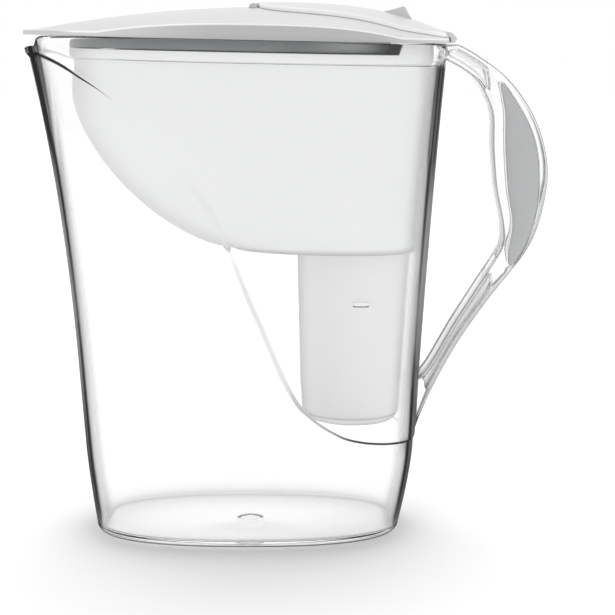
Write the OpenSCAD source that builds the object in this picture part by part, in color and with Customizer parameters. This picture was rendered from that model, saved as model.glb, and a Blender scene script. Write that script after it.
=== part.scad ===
// Water filter pitcher with a flip lid: clear jug, white funnel with a
// cartridge in its housing, and a lid whose flap opens for filling.

/* [Jug] */
// Height of the rim over the middle of the base
rim_h = 259.6; // [240:0.2:276]
// Half length of the jug at its waist
waist_half = 87.7; // [80:0.1:96]
// Height of the waist, where the walls stop curving in
waist_h = 45; // [30:1:60]
// Half depth of the jug at its waist, front to back
waist_depth = 55.6; // [50:0.1:60]
// How fast the half depth grows with height
depth_taper = 0.055; // [0.03:0.005:0.08]
// How fast the handle end leans out above the waist
back_taper = 0.055; // [0.04:0.005:0.07]
// How far the handle end curves out more by the rim
back_sweep = 4; // [0:0.1:8]
// How fast the spout end leans out above the waist
front_taper = 0.0755; // [0.06:0.0005:0.09]
// How far the spout end sweeps out more by the rim
spout_sweep = 12.3; // [6:0.1:16]
// How far the walls draw in under the waist
base_draw = 2.6; // [1:0.1:5]
// How far the handle end draws in under the waist
base_draw_back = 6; // [1:0.1:8]
// Wall thickness of the jug
wall_t = 3; // [2.4:0.1:4]
// How much thicker the wall grows behind the spout's edge by the rim
prow_t = 5.5; // [3:0.5:8]
// Wall thickness of the collar above the ledge
collar_t = 1.7; // [1.2:0.1:2]
// Depth of the ledge under the rim
ledge_drop = 11; // [9:0.5:14]
// Thickness of the jug's floor
floor_t = 3; // [2:0.1:5]
// Radius of the jug's bottom edge
bottom_r = 4; // [3:0.5:8]
// Tilt of the rim, lower at the handle, in degrees
rim_tilt = 1.2; // [0:0.1:2]
// How far the spout's lip lies under the rim
spout_drop = 5.5; // [3:0.5:8]
// Length of the spout's lip
spout_l = 9; // [6:0.5:14]
// Height of the moulded step line on the walls
crease_step = 0.8; // [0.4:0.1:1.2]
// How far the spout flares beyond that step
spout_flare = 0.8; // [0:0.1:3]
// Diameter of the gate mark in the floor
gate_d = 14; // [8:1:20]

/* [Handle] */
// How far the handle reaches out past the rim
handle_reach = 52.4; // [46:0.2:58]
// Height of the handle's foot on the wall
foot_z = 48; // [42:1:54]
// Width of the handle, front to back
handle_w = 22; // [16:1:28]
// Thickness of the web between the two recesses
web_t = 4; // [3:0.5:6]
// How far the handle's roots are moulded into the wall
root_sink = 1.2; // [0.6:0.1:1.6]
// Thickness of the rails along the arms
rail_t = 2.6; // [2:0.2:3.2]
// Gap round each grip insert
grip_gap = 0.15; // [0.1:0.05:0.3]
// How far the grip's crown stands proud of the handle
grip_crown = 1.4; // [0.6:0.1:2.4]

/* [Funnel] */
// Wall thickness of the funnel
funnel_t = 1.8; // [1.4:0.1:2.4]
// Height of the funnel's flange
flange_h = 5; // [3:0.2:7]
// Gap between the flange and the collar round it
flange_gap = 0.4; // [0.3:0.05:0.6]
// Width of the flange past the funnel's wall
flange_w = 1.4; // [1:0.1:3]
// Room between the funnel's flange and the spout's end of the rim
spout_room = 23.8; // [20:0.2:28]
// Depth of the funnel's floor under the rim
funnel_depth = 105.6; // [96:0.2:114]
// Depth at which the funnel starts to draw in
funnel_bend = 29; // [20:1:40]
// Place of the floor's edge toward the spout
floor_edge = -8; // [-20:1:4]
// Half depth of the funnel's floor, front to back
floor_half = 40; // [36:1:46]

/* [Housing and cartridge] */
// Distance of the cartridge from the middle of the jug
housing_x = 58; // [54:0.5:60]
// Outer diameter of the housing at its mouth
housing_d = 60.4; // [58:0.1:61]
// Outer diameter of the housing by its bottom
housing_end_d = 53; // [51:0.1:56]
// Length of the housing under the funnel's floor
housing_l = 93; // [84:1:98]
// Wall thickness of the housing
housing_t = 1.5; // [1.2:0.1:2]
// Radius of the housing's bottom edge
housing_r = 8; // [5:0.5:10]
// Width of the seat that the cartridge's flange covers
seat_w = 2.05; // [1.6:0.05:2.2]
// Height of the cartridge's flange
cart_flange_h = 5.4; // [4:0.1:7]
// Gap round the cartridge at the housing's mouth
cart_gap = 1.4; // [1:0.1:2]
// How much less than the housing's bottom the cartridge's bottom is, each side
cart_end_gap = 1.2; // [1:0.1:2]
// Length of the cartridge under its flange
cart_l = 74; // [68:1:78]
// Wall thickness of the cartridge
cart_t = 1.4; // [1:0.1:2]
// Diameter of the slotted crown where it starts
crown_d = 45; // [42:0.5:47]
// Diameter of the slotted crown at its top
crown_top_d = 37; // [34:0.5:40]
// Height of the slotted crown
crown_h = 11.4; // [8:0.2:14]
// Number of slots round the crown
slot_n = 36; // [18:2:48]
// Width of one slot
slot_w = 1.3; // [0.8:0.1:1.6]
// Diameter of the finger grip on the crown
knob_d = 31; // [26:1:34]
// Height of the finger grip
knob_h = 21; // [14:1:24]
// Width of the key groove at the cartridge's bottom
key_w = 9; // [6:0.5:12]
// Depth of the key groove
key_d = 4; // [3:0.5:5]
// Length of the key groove
key_l = 50; // [40:1:60]

/* [Lid] */
// Height of the dome over the rim
dome_h = 17.2; // [14:0.2:22]
// Place of the dome's top along the lid
dome_x = 25; // [15:1:35]
// Length over which the dome falls toward the spout
dome_front = 150; // [140:1:170]
// Length over which the dome falls toward the handle
dome_end = 85; // [80:1:95]
// Thickness of the lid's edge
edge_h = 2.6; // [2.2:0.1:4]
// How much taller the lid's side is in its middle
side_arch = 5.4; // [2:0.2:7]
// Place of that middle along the lid
arch_x = 12; // [8:1:26]
// Length of the arch toward the spout
arch_front = 86; // [70:1:90]
// Length of the arch toward the handle
arch_end = 66; // [55:1:70]
// Wall thickness of the lid
lid_t = 1.8; // [1.4:0.1:2.2]
// Overhang of the lid past the rim
lid_over = 0.6; // [0.2:0.1:1.5]
// How much shorter the lid's beak is than that overhang
beak_cut = 1; // [0:0.1:1.5]
// Gap between the lid and what it rests on
seat_gap = 0.3; // [0.3:0.05:0.5]
// Wall thickness of the skirt
skirt_t = 1.6; // [1.2:0.1:2.4]
// Room for a finger between the skirt and the flap's end
finger_room = 29.5; // [26:0.5:34]

/* [Flap] */
// Thickness of the flap
flap_t = 2.2; // [1.8:0.1:3]
// Place of the hinge along the lid
hinge_x = 3; // [0:0.5:8]
// How far the flap's end lies inside the lid's
flap_end = 0.9; // [0.5:0.1:6]
// Half width of the flap
flap_half = 43; // [38:0.5:45]
// How far the flap laps over the edge of the fill opening
flap_lap = 5; // [4:0.5:7]
// Radius of the hinge barrel
barrel_r = 2.2; // [2:0.1:2.6]
// Length of the hinge barrel
barrel_l = 26; // [20:1:28]
// Radius of the hinge pins
pin_r = 1.2; // [1:0.1:1.3]
// Length of each hinge pin
pin_l = 3.4; // [2:0.1:4]
// Radial clearance of the pins in their bores
pin_gap = 0.08; // [0.04:0.01:0.1]
// Height of the thumb tab over the flap
tab_h = 5; // [3:0.5:8]
// Width of the thumb tab
tab_w = 24; // [16:1:30]
// Distance of the thumb tab from the flap's end
tab_in = 23.6; // [20:0.2:30]
// How far the flap's rear lip reaches out over the handle's root
lip_out = 3.8; // [2:0.1:6]
// Width of the rear lip
rear_lip_w = 14; // [8:1:26]

/* [Hidden] */
$fn = 72;

columns = 72;          // points round every plan outline
plan_p = 2.4;          // fullness of every plan outline along its length
back_q = 2.3;          // fullness of the outlines' handle end
front_q_rim = 0.95;    // the spout end comes to a point by the rim
front_q_base = 3;      // and is as full as the handle end by the base
back_q_base = 3;
full_low = 0.4;        // share of the height over which the base stays full

// ---- curves and grids ------------------------------------------------
function mix(a, b, t) = a + (b - a) * t;
function clamp01(t) = min(1, max(0, t));
function smooth(t) = let (k = clamp01(t)) k * k * (3 - 2 * k);
function sgn(v) = v < 0 ? -1 : 1;

// One point of a smooth curve through p, between p[i] and p[i + 1].
function curve_point(p, i, t) =
    let (a = p[max(0, i - 1)], b = p[i], c = p[i + 1], d = p[min(len(p) - 1, i + 2)])
    0.5 * (2 * b + (c - a) * t + (2 * a - 5 * b + 4 * c - d) * t * t
        + (3 * b - a - 3 * c + d) * t * t * t);
// The smooth curve through p, in n steps from each point to the next.
function curve(p, n) = [
    for (i = [0:len(p) - 2]) for (k = [0:n - 1]) curve_point(p, i, k / n), p[len(p) - 1]];

// The same curve, closed from the last point back to the first.
function closed_curve(p, n) = let (m = len(p)) [for (i = [0:m - 1]) for (k = [0:n - 1])
    curve_point([for (j = [-1:2]) p[(i + j + m) % m]], 1, k / n)];

// Point of a plan outline: reach toward the spout and the handle, half
// depth, and the fullness of each end.
function plan_point(a, reach, back, depth, qf, qb) =
    let (c = cos(a), s = sin(a), q = c < 0 ? qf : qb)
    [(c < 0 ? reach : back) * sgn(c) * pow(abs(c), 2 / plan_p), depth * sgn(s) * pow(abs(s), 2 / q)];
function angle(j) = 360 * j / columns;

// Faces of a grid of rings, each with the same number of columns, closed
// round the columns, and from the last ring back to the first if looped.
function ring_faces(rings, looped) = [
    for (i = [0:rings - (looped ? 1 : 2)]) for (j = [0:columns - 1])
        let (n = columns, r = (i + 1) % rings, k = (j + 1) % n)
        each [[i * n + j, r * n + j, r * n + k], [i * n + j, r * n + k, i * n + k]]];
module ring_tube(rings) {
    polyhedron(points = [for (r = rings) each r], faces = ring_faces(len(rings), true), convexity = 6);
}
module ring_solid(rings) {
    n = columns;
    last = (len(rings) - 1) * n;
    polyhedron(points = [for (r = rings) each r], faces = concat(ring_faces(len(rings), false),
        [[for (j = [0:n - 1]) j], [for (j = [n - 1:-1:0]) last + j]]), convexity = 6);
}

// ---- jug -------------------------------------------------------------
function under_waist(z) = pow(max(0, (waist_h - z) / waist_h), 1.5);
function over_waist(z) = max(0, (z - waist_h) / (rim_h - waist_h));
function sweep_start() = 2 * waist_h;
function jug_reach(z) = waist_half + front_taper * (z - waist_h) - base_draw * under_waist(z)
    + spout_sweep * pow(max(0, (z - sweep_start()) / (rim_h - sweep_start())), 2);
function jug_back(z) = waist_half + back_taper * (z - waist_h) - base_draw_back * under_waist(z)
    + back_sweep * pow(over_waist(z), 2);
function jug_depth(z) = waist_depth + depth_taper * (z - waist_h) - base_draw * 0.7 * under_waist(z);
function jug_qf(z) = mix(mix(front_q_base, back_q, clamp01(z / rim_h / full_low)), front_q_rim,
    clamp01((z / rim_h - full_low) / (1 - full_low)));
function jug_qb(z) = mix(back_q_base, back_q, clamp01(z / rim_h / full_low));
function jug_plan(a, z, inset) = plan_point(a, jug_reach(z) - inset, jug_back(z) - inset,
    jug_depth(z) - inset, jug_qf(z), jug_qb(z));

// Height of the rim's plane, and of the lip that drops by the spout.
function rim_plane(x) = rim_h - tan(rim_tilt) * x;
function lip_drop(x) = spout_drop * smooth((-x - jug_reach(rim_h) + spout_l) / (spout_l * 0.5));
function rim_z(x) = rim_plane(x) - lip_drop(x);

// The step line runs in an S from the spout's tip to the handle's foot.
// Its points are [share of the half length at the waist, share of the rim's height].
crease = [for (p = [[-1.539, 0.994], [-1.277, 0.9765], [-0.969, 0.932], [-0.593, 0.842], [-0.171, 0.6665],
    [0.091, 0.4505], [0.296, 0.2965], [0.570, 0.2235], [0.958, 0.1965], [1.254, 0.1885]])
    [p[0] * waist_half, p[1] * rim_h]];
function crease_at(x, i = 0) = (i >= len(crease) - 2 || x <= crease[i + 1][0])
    ? let (a = crease[i], b = crease[i + 1], t = clamp01((x - a[0]) / (b[0] - a[0])))
        curve_point([for (p = crease) p[1]], i, t)
    : crease_at(x, i + 1);
// Height at which a column of the grid meets the step line.
function crease_z(a, z, n = 5) = n == 0 ? z : crease_z(a, crease_at(jug_plan(a, z, 0)[0]), n - 1);
function step_out(x) = crease_step + spout_flare * pow(clamp01(-x / jug_reach(rim_h)), 6);

low_rows = 6;
high_rows = 9;
step_w = 2.4;
// Rounding of the bottom edge: k from 0 at the flat base to 1.
function edge_in(k) = bottom_r * (1 - sin(90 * k));
function edge_z(k) = bottom_r * (1 - cos(90 * k));
function outer_point(a, z, out) = let (p = jug_plan(a, z, -out)) [p[0], p[1], z];
function outer_row(i) = [for (j = [0:columns - 1])
    let (a = angle(j), zc = crease_z(a, rim_h * 0.55), x = jug_plan(a, zc, 0)[0],
        top = rim_z(jug_plan(a, rim_h, 0)[0]), cut = min(zc, top - 2 * step_w), out = step_out(x))
    i < low_rows
        ? outer_point(a, mix(bottom_r, cut - step_w / 2, i / (low_rows - 1)), 0)
        : outer_point(a, mix(cut + step_w / 2, top, (i - low_rows) / (high_rows - 1)), out)];
function bottom_row(k) = [for (j = [0:columns - 1])
    let (p = jug_plan(angle(j), bottom_r, edge_in(k))) [p[0], p[1], edge_z(k)]];
// Inner wall: the same plan, one wall in, and wider over the ledge.
inner_rows = 13;
inner_r = bottom_r - 1;
ledge_start = 14;       // where the ledge begins, from the flange's spout end
ledge_run = 24;         // and the length over which it grows to its full width
function ledge_fade(x) = smooth((x + flange_reach - ledge_start) / ledge_run);
function inner_step(a, z) = let (x = jug_plan(a, z, 0)[0])
    step_out(x) * smooth((z - crease_at(x) + 6) / 12) ;
function prow_extra(z) = prow_t * pow(max(0, 2 * z / rim_h - 1), 2);
function inner_point(a, z, inset) = let (in = inset - inner_step(a, z),
        p = plan_point(a, jug_reach(z) - in - prow_extra(z), jug_back(z) - in, jug_depth(z) - in,
            jug_qf(z), jug_qb(z)))
    [p[0], p[1], z];
function ledge_z(a) = rim_plane(jug_plan(a, rim_h - ledge_drop, 0)[0]) - ledge_drop;
function inner_row(i) = [for (j = [0:columns - 1])
    let (a = angle(j)) inner_point(a, mix(floor_t + inner_r, ledge_z(a), i / (inner_rows - 1)), wall_t)];
function collar_in(a) = mix(wall_t, collar_t, ledge_fade(jug_plan(a, rim_h, 0)[0]));
function collar_row(up) = [for (j = [0:columns - 1])
    let (a = angle(j), top = rim_z(jug_plan(a, rim_h, 0)[0]))
    inner_point(a, up ? top : ledge_z(a), collar_in(a))];
function inner_bottom_row(k) = [for (j = [0:columns - 1])
    let (p = jug_plan(angle(j), floor_t + inner_r, wall_t + inner_r * (1 - sin(90 * k))))
    [p[0], p[1], floor_t + inner_r * (1 - cos(90 * k))]];
// A ring of the floor, round the gate mark, at height z.
function gate_row(d, z) = [for (j = [0:columns - 1]) [d / 2 * cos(angle(j)), d / 2 * sin(angle(j)), z]];
gate_deep = 0.8;

// The origin is under the middle of the whole, between the lid's beak and the
// handle. The jug is drawn round its own middle and then moved there.
module placed() { translate([-mid_x, 0, 0]) children(); }
// Everything in the rim's own frame: z = 0 on the plane of the rim.
module at_rim() { placed() translate([0, 0, rim_h]) rotate([0, rim_tilt, 0]) children(); }

module jug_body() {
    color([0.90, 0.93, 0.94, 0.35])
    placed() ring_solid(concat(
        [gate_row(gate_d * 0.6, gate_deep), gate_row(gate_d, 0)],
        [for (k = [0, 0.33, 0.67]) bottom_row(k)],
        [for (i = [0:low_rows + high_rows - 1]) outer_row(i)],
        [collar_row(true), collar_row(false)],
        [for (i = [inner_rows - 1:-1:0]) inner_row(i)],
        [for (k = [0.67, 0.33, 0]) inner_bottom_row(k)],
        [gate_row(gate_d, floor_t), gate_row(gate_d * 0.6, floor_t + gate_deep / 2)]));
}

// ---- handle ----------------------------------------------------------
// Places on the handle are shares of its reach and of its height, from the
// handle end of the rim for its upper part and from its foot for the lower arm.
rim_end = jug_back(rim_h);
foot_x = jug_back(foot_z);
handle_l = rim_h - foot_z;
function hand(out, drop) = [rim_end + out * handle_reach, rim_h - drop * handle_l];
function arm(out, rise) = [foot_x + out * handle_reach, foot_z + rise * handle_l];
// Out from the rim under the flap's lip, round the grip and down the arm.
outer_curve = curve([hand(0.115, 0.0115), hand(0.305, 0.038), hand(0.603, 0.0945), hand(0.859, 0.1815),
    hand(0.996, 0.281), hand(1, 0.3755), hand(0.847, 0.504), arm(0.725, 0.3545), arm(0.439, 0.2505),
    arm(0.202, 0.1425), arm(0.057, 0.0615), [foot_x - root_sink, foot_z]], 5);
outer_edge = concat([hand(0, 0.014) - [root_sink, 0], hand(0.06, 0.0115)], outer_curve);
inner_edge = curve([arm(0.035, 0.151) - [root_sink, 0], arm(0.143, 0.191), arm(0.382, 0.295),
    arm(0.63, 0.393), arm(0.851, 0.484), hand(0.576, 0.4565), hand(0.504, 0.364), hand(0.466, 0.2645),
    hand(0.45, 0.177), hand(0.317, 0.106), hand(0.153, 0.071), hand(0, 0.0475) - [root_sink, 0]], 5);
// Outline of the grip's recess, from its top tip down the inner side and back up.
leaf_top = 0.104 * handle_l;
leaf_low = 0.555 * handle_l;
leaf = closed_curve([hand(0.534, 0.104), hand(0.58, 0.18), hand(0.588, 0.265), hand(0.622, 0.3685),
    hand(0.672, 0.4535), hand(0.63, 0.529), hand(0.668, 0.555), hand(0.809, 0.501), hand(0.912, 0.411),
    hand(0.924, 0.312), hand(0.859, 0.2315), hand(0.714, 0.1605)], 5);
// Part of an edge, from point i to point k, moved in by one rail.
function railed(edge, i, k) = [for (j = [i:k]) let (d = edge[j + 1] - edge[j - 1])
    edge[j] + rail_t * [d[1], -d[0]] / norm(d)];
// The arms are hollowed too, between rails along their edges.
high_hollow = concat([hand(0.03, 0.0125) - [0, rail_t]], railed(outer_curve, 1, 7), railed(inner_edge, 43, 54));
low_hollow = concat(railed(outer_curve, 35, 46), railed(inner_edge, 4, 17));

// An upright plate of the given thickness, its middle at y.
module plate(outline, thick, y = 0) {
    translate([0, y + thick / 2, 0]) rotate([90, 0, 0]) linear_extrude(thick) polygon(outline);
}
module handle_frame() {
    recess = (handle_w - web_t) / 2;
    color([0.88, 0.91, 0.92, 0.45])
    placed() difference() {
        plate(concat(outer_edge, inner_edge), handle_w);
        for (s = [-1, 1]) for (hollow = [leaf, high_hollow, low_hollow])
            plate(hollow, recess + 1, s * (handle_w / 2 - recess / 2 + 0.5));
    }
}
// A grip insert fills one recess; its outer face is crowned.
module grip(side) {
    recess = (handle_w - web_t) / 2;
    tall = leaf_low - leaf_top;
    mid = rim_h - (leaf_top + leaf_low) / 2;
    crown_r = (tall * tall / 4 + grip_crown * grip_crown) / (2 * grip_crown);
    color([0.68, 0.69, 0.70])
    placed() intersection() {
        plate(grip_leaf(), recess + grip_crown, side * (web_t + recess + grip_crown) / 2);
        translate([rim_end, side * (handle_w / 2 + grip_crown - crown_r), mid]) rotate([0, 90, 0])
            cylinder(r = crown_r, h = 4 * handle_w, $fn = 400);
    }
}
// The recess's outline, each point moved in by the gap.
function grip_leaf() = let (n = len(leaf)) [for (i = [0:n - 1])
    let (d = leaf[(i + 1) % n] - leaf[(i + n - 1) % n]) leaf[i] + grip_gap * [-d[1], d[0]] / norm(d)];
module grip_front() { grip(-1); }
module grip_back() { grip(1); }

// ---- what follows from the jug ---------------------------------------
lid_reach = jug_reach(rim_h) + crease_step + spout_flare + lid_over - beak_cut;
lid_back = jug_back(rim_h) + crease_step + lid_over;
lid_half = jug_depth(rim_h) + crease_step + lid_over;
mid_x = (max([for (p = outer_edge) p[0]]) - lid_reach) / 2;
flap_back = lid_back - flap_end;
skirt_back = flap_back - finger_room;

// ---- funnel ----------------------------------------------------------
flange_reach = jug_reach(rim_h) - spout_room;
collar_z = rim_h - ledge_drop;
flange_low = ledge_drop - seat_gap;
flange_top = flange_low - flange_h;
flange_end = 3.8;                    // room for a finger at the handle end
flange_back = jug_back(collar_z) - collar_t - flange_end;
flange_half = jug_depth(collar_z) - collar_t - flange_gap;
funnel_low = funnel_depth + funnel_t;
funnel_reach = flange_reach - flange_w;
wall_gap = 3.2;                      // between the funnel and the jug's wall
funnel_back = jug_back(collar_z) - wall_t - wall_gap;
funnel_half = jug_depth(collar_z) - wall_t - wall_gap;
cart_room = 0.6;                     // round the cartridge's flange
mouth_r = housing_d / 2 - housing_t;
lip_r = mouth_r + seat_w;            // radius of the cartridge's flange
floor_back = housing_x + lip_r + cart_room + funnel_t;
bend_p = 1.55;                       // how the spout side draws in
rim_q = 1.6;                         // fullness of the funnel's spout end
// The funnel's plan at a share v of the way down its bend.
function funnel_plan(a, v, inset) = let (
        reach = mix(-floor_edge, funnel_reach, pow(max(0, 1 - pow(v, bend_p)), 1 / bend_p)),
        back = mix(funnel_back, floor_back, v),
        half = mix(floor_half, funnel_half, sqrt(max(0, 1 - v * v))),
        mid = (floor_back + floor_edge) / 2 * pow(v, 3),
        p = plan_point(a, reach + mid - inset, back - mid - inset, half - inset, mix(rim_q, back_q, v), back_q))
    [p[0] + mid, p[1]];
function funnel_row(v, z, inset) = [for (j = [0:columns - 1])
    let (p = funnel_plan(angle(j), v, inset)) [p[0], p[1], z]];
function hole_row(r, z) = [for (j = [0:columns - 1])
    [housing_x + r * cos(angle(j)), r * sin(angle(j)), z]];
function flange_row(inset, z) = [for (j = [0:columns - 1])
    let (p = plan_point(angle(j), flange_reach - inset, flange_back - inset, flange_half - inset, rim_q, back_q))
    [p[0], p[1], z]];
// The rim stands higher at the handle end, as a finger tab behind the skirt.
rise_gap = 1.8;
tab_rise_x = skirt_back + rise_gap;
function rim_rise(r) = [for (p = r) [p[0], p[1], mix(-flange_top, -0.9, smooth((p[0] - tab_rise_x) / 2))]];
funnel_steps = 9;
function bend(k) = pow(sin(90 * k / funnel_steps), 2 / bend_p);

module funnel_hopper() {
    low = funnel_bend;
    color([0.93, 0.93, 0.93])
    at_rim() ring_tube(concat(
        [hole_row(mouth_r, -funnel_low), hole_row(mouth_r + 1.5, -funnel_low)],
        [for (k = [funnel_steps:-1:0]) funnel_row(bend(k), -mix(low, funnel_low, bend(k)), 0)],
        [funnel_row(0, -flange_low, 0), flange_row(0, -flange_low)],
        [rim_rise(flange_row(0, 0)), rim_rise(funnel_row(0, 0, funnel_t))],
        [for (k = [0:funnel_steps]) funnel_row(bend(k), -mix(low, funnel_depth, bend(k)), funnel_t)],
        [hole_row(mouth_r + 1.5, -funnel_depth), hole_row(mouth_r, -funnel_depth)]));
}

// ---- housing ---------------------------------------------------------
// Half outline of a tapered cup, its mouth at z = 0 and its bottom edge round.
function cup(top_r, end_r, l, r, in) = let (n = 8) concat(
    [[top_r - in, 0], [end_r - in, -l + r]],
    [for (k = [1:n]) [end_r - r + (r - in) * cos(90 * k / n), -l + r - (r - in) * sin(90 * k / n)]]);
function flip(p) = [for (i = [len(p) - 1:-1:0]) p[i]];
module revolve(outline) { rotate_extrude($fn = 96) polygon(outline); }
module filter_housing() {
    low = housing_d / 2;
    vent_w = 8;
    vent_h = 2;
    vent_x = 3.3;
    vent_z = -28;
    drain_d = 5;
    color([0.88, 0.88, 0.87])
    at_rim() translate([housing_x, 0, -funnel_low])
    difference() {
        union() {
            revolve(concat(cup(low, housing_end_d / 2, housing_l, housing_r, 0), [[0, -housing_l]],
                [[0, -housing_l + housing_t]],
                flip(cup(low, housing_end_d / 2, housing_l, housing_r, housing_t))));
            intersection() {
                revolve(concat(cup(low, housing_end_d / 2, housing_l, housing_r, housing_t / 2),
                    [[0, -housing_l + housing_t / 2], [0, 0]]));
                key_rib();
            }
        }
        translate([vent_x - vent_w / 2, -housing_d, vent_z]) cube([vent_w, housing_d, vent_h]);
        translate([0, 0, -housing_l - 1]) cylinder(d = drain_d, h = housing_r);
        for (k = [0:5]) rotate([0, 0, 60 * k]) translate([2.2 * drain_d, 0, -housing_l - 1])
            cylinder(d = drain_d, h = housing_r);
    }
}

// ---- cartridge -------------------------------------------------------
// z = 0 on the underside of the cartridge's flange.
module at_cartridge() {
    at_rim() translate([housing_x, 0, -funnel_depth + seat_gap]) children();
}
cart_r = mouth_r - cart_gap;
cart_end_r = housing_end_d / 2 - housing_t - cart_end_gap;
// Outer radius of the cartridge at height z under its flange.
function cart_radius(z) = mix(cart_r, cart_end_r, -z / cart_l);
// The key groove on the spout side: an upright wedge, widest at the foot. Its
// slope is kept as it grows.
module key_wedge(grow) {
    half = key_w / 2 + grow;
    translate([grow + key_d - cart_end_r, 0, -cart_l]) rotate([90, 0, -90])
        linear_extrude(2 * cart_r) polygon([[-half, 0], [half, 0], [0, key_l * half / (key_w / 2)]]);
}
// The rib in the housing that fills the groove, from the housing's floor up.
key_gap = 0.5;
module key_rib() {
    half = key_w / 2 - key_gap;
    drop = housing_l + funnel_t + seat_gap - cart_l;
    translate([key_d - key_gap - cart_end_r, 0, -housing_l]) rotate([90, 0, -90])
        linear_extrude(2 * cart_r) polygon([[-half, 0], [half, 0], [half, drop],
            [0, drop + key_l * half / (key_w / 2)], [-half, drop]]);
}
module cart_body(in, low, top) {
    revolve([[0, low], [cart_radius(low) - in, low], [cart_radius(top) - in, top], [0, top]]);
}
module cartridge_shell() {
    out_d = 3;
    color([0.95, 0.95, 0.95])
    at_cartridge() difference() {
        union() {
            difference() {
                union() {
                    cart_body(0, -cart_l, 0);
                    cylinder(r = lip_r, h = cart_flange_h, $fn = 96);
                }
                translate([0, 0, cart_t]) cylinder(r = lip_r - cart_t, h = cart_flange_h, $fn = 96);
                cart_body(cart_t, -cart_l + cart_t, cart_t + 0.01);
            }
            intersection() {
                cart_body(cart_t / 2, -cart_l + cart_t / 2, 0);
                key_wedge(cart_t);
            }
        }
        translate([0, 0, -0.01]) key_wedge(0);
        for (ring = [[6, 7], [10, 14]]) for (k = [0:ring[0] - 1]) rotate([0, 0, 360 * (k + 0.5) / ring[0]])
            translate([ring[1], 0, -cart_l - 1]) cylinder(d = out_d, h = cart_t + 2);
    }
}
plate_low = cart_t;
plate_t = 1.4;
crown_top = cart_flange_h + crown_h;
module cartridge_cap() {
    fit = 0.3;
    low = plate_low + plate_t;
    slot_h = crown_h - 1.6;
    color([0.90, 0.90, 0.90])
    at_cartridge() difference() {
        union() {
            translate([0, 0, plate_low]) cylinder(r = lip_r - cart_t - fit, h = plate_t, $fn = 96);
            revolve([[crown_d / 2 - 1.6, low], [crown_d / 2, low], [crown_d / 2, cart_flange_h],
                [crown_top_d / 2, crown_top], [knob_d / 2 - 1.4, crown_top],
                [knob_d / 2 - 1.4, crown_top - 1.6], [crown_top_d / 2 - 2, crown_top - 1.6],
                [crown_d / 2 - 1.6, cart_flange_h]]);
            knob();
        }
        cylinder(r = crown_d / 2 - 3, h = low + 1);
        for (k = [0:slot_n - 1]) rotate([0, 0, 360 * k / slot_n])
            translate([crown_top_d / 2 - 2.4, -slot_w / 2, cart_flange_h + 0.4])
                cube([crown_d, slot_w, slot_h - 0.4]);
    }
}
// The hollow dome that fingers lift the cartridge by, flattened on two sides.
module knob() {
    t = 1.4;
    translate([0, 0, crown_top - 0.01]) difference() {
        knob_form(0);
        translate([0, 0, -0.01]) knob_form(t);
    }
}
// The dome, one wall in, between its two flats: they lean in toward the top.
module knob_form(in) {
    r = knob_d / 2;
    n = 14;
    foot = knob_d * 0.56 - in;
    tip = knob_d * 0.17 - in;
    intersection() {
        revolve(concat([[0, 0]], [for (k = [0:n]) [(r - in) * cos(90 * k / n), (knob_h - in) * sin(90 * k / n)]]));
        translate([-knob_d, 0, 0]) rotate([90, 0, 90]) linear_extrude(2 * knob_d)
            polygon([[-foot, -1], [foot, -1], [tip, knob_h], [-tip, knob_h]]);
    }
}
// The screens lie under the cap's plate and on the floor, granules between.
screen_t = 0.8;
pack_gap = 0.3;
module inlet_screen() {
    color([0.80, 0.81, 0.82])
    at_cartridge() translate([0, 0, plate_low - screen_t]) cylinder(r = cart_r - cart_t - pack_gap, h = screen_t);
}
module filter_media() {
    head_room = 4;
    color([0.35, 0.30, 0.24])
    at_cartridge() difference() {
        cart_body(cart_t + pack_gap, -cart_l + cart_t + screen_t, -head_room);
        key_wedge(cart_t + pack_gap);
    }
}
module outlet_screen() {
    color([0.80, 0.81, 0.82])
    at_cartridge() difference() {
        translate([0, 0, -cart_l + cart_t]) cylinder(r = cart_end_r - cart_t - pack_gap, h = screen_t);
        key_wedge(cart_t + pack_gap);
    }
}

// ---- lid -------------------------------------------------------------
function lid_plan(a, inset) =
    plan_point(a, lid_reach - inset, lid_back - inset, lid_half - inset, front_q_rim, back_q);
// Half depth of the lid at x.
function lid_depth(x) = let (u = min(1, x < 0 ? -x / lid_reach : x / lid_back))
    lid_half * pow(max(0, 1 - pow(u, plan_p)), 1 / (x < 0 ? front_q_rim : back_q));
// Height of the side's top edge: tallest in the middle, thin at both ends.
function side_h(x) = let (u = (x - arch_x) / (x < arch_x ? arch_front : arch_end))
    edge_h + side_arch * (1 - pow(min(1, abs(u)), 2.6));
// Height of the dome along its middle.
function dome_at(x) = let (u = (x - dome_x) / (x < dome_x ? dome_front : dome_end))
    max(side_h(x) + 0.3, dome_h * (1 - pow(min(1, abs(u)), x < dome_x ? 2 : 2.5)));
function lid_top(x, y) = let (d = lid_depth(x), v = d < 0.5 ? 1 : min(1, abs(y) / d))
    mix(dome_at(x), side_h(x), v * v);

// The fill opening lies inside the skirt, behind the hinge, and a notch in
// front of it takes the hinge barrel and its arm.
hinge_gap = 0.3;
arm_l = 5;
open_front = hinge_x + barrel_r + arm_l + hinge_gap;
open_back = skirt_back - skirt_t - 2;
open_half = flap_half - flap_lap;
function open_plan(a) = let (h = (open_back - open_front) / 2, p = plan_point(a, h, h, open_half, 2.4, 2.4))
    [p[0] + open_front + h, p[1]];
function lid_row(s, lower, inset) = [for (j = [0:columns - 1])
    let (o = lid_plan(angle(j), inset), i = open_plan(angle(j)), x = mix(o[0], i[0], s),
        y = mix(o[1], i[1], s))
    [x, y, lid_top(x, y) - lower]];
function lid_edge_row(z, inset) = [for (j = [0:columns - 1])
    let (o = lid_plan(angle(j), inset)) [o[0], o[1], z < 0 ? side_h(o[0]) + z : z]];
barrel_sink = 0.6;      // how far the barrel lies under the flap's top
hinge_z = dome_at(hinge_x) + seat_gap + flap_t - barrel_r - barrel_sink;
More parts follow.
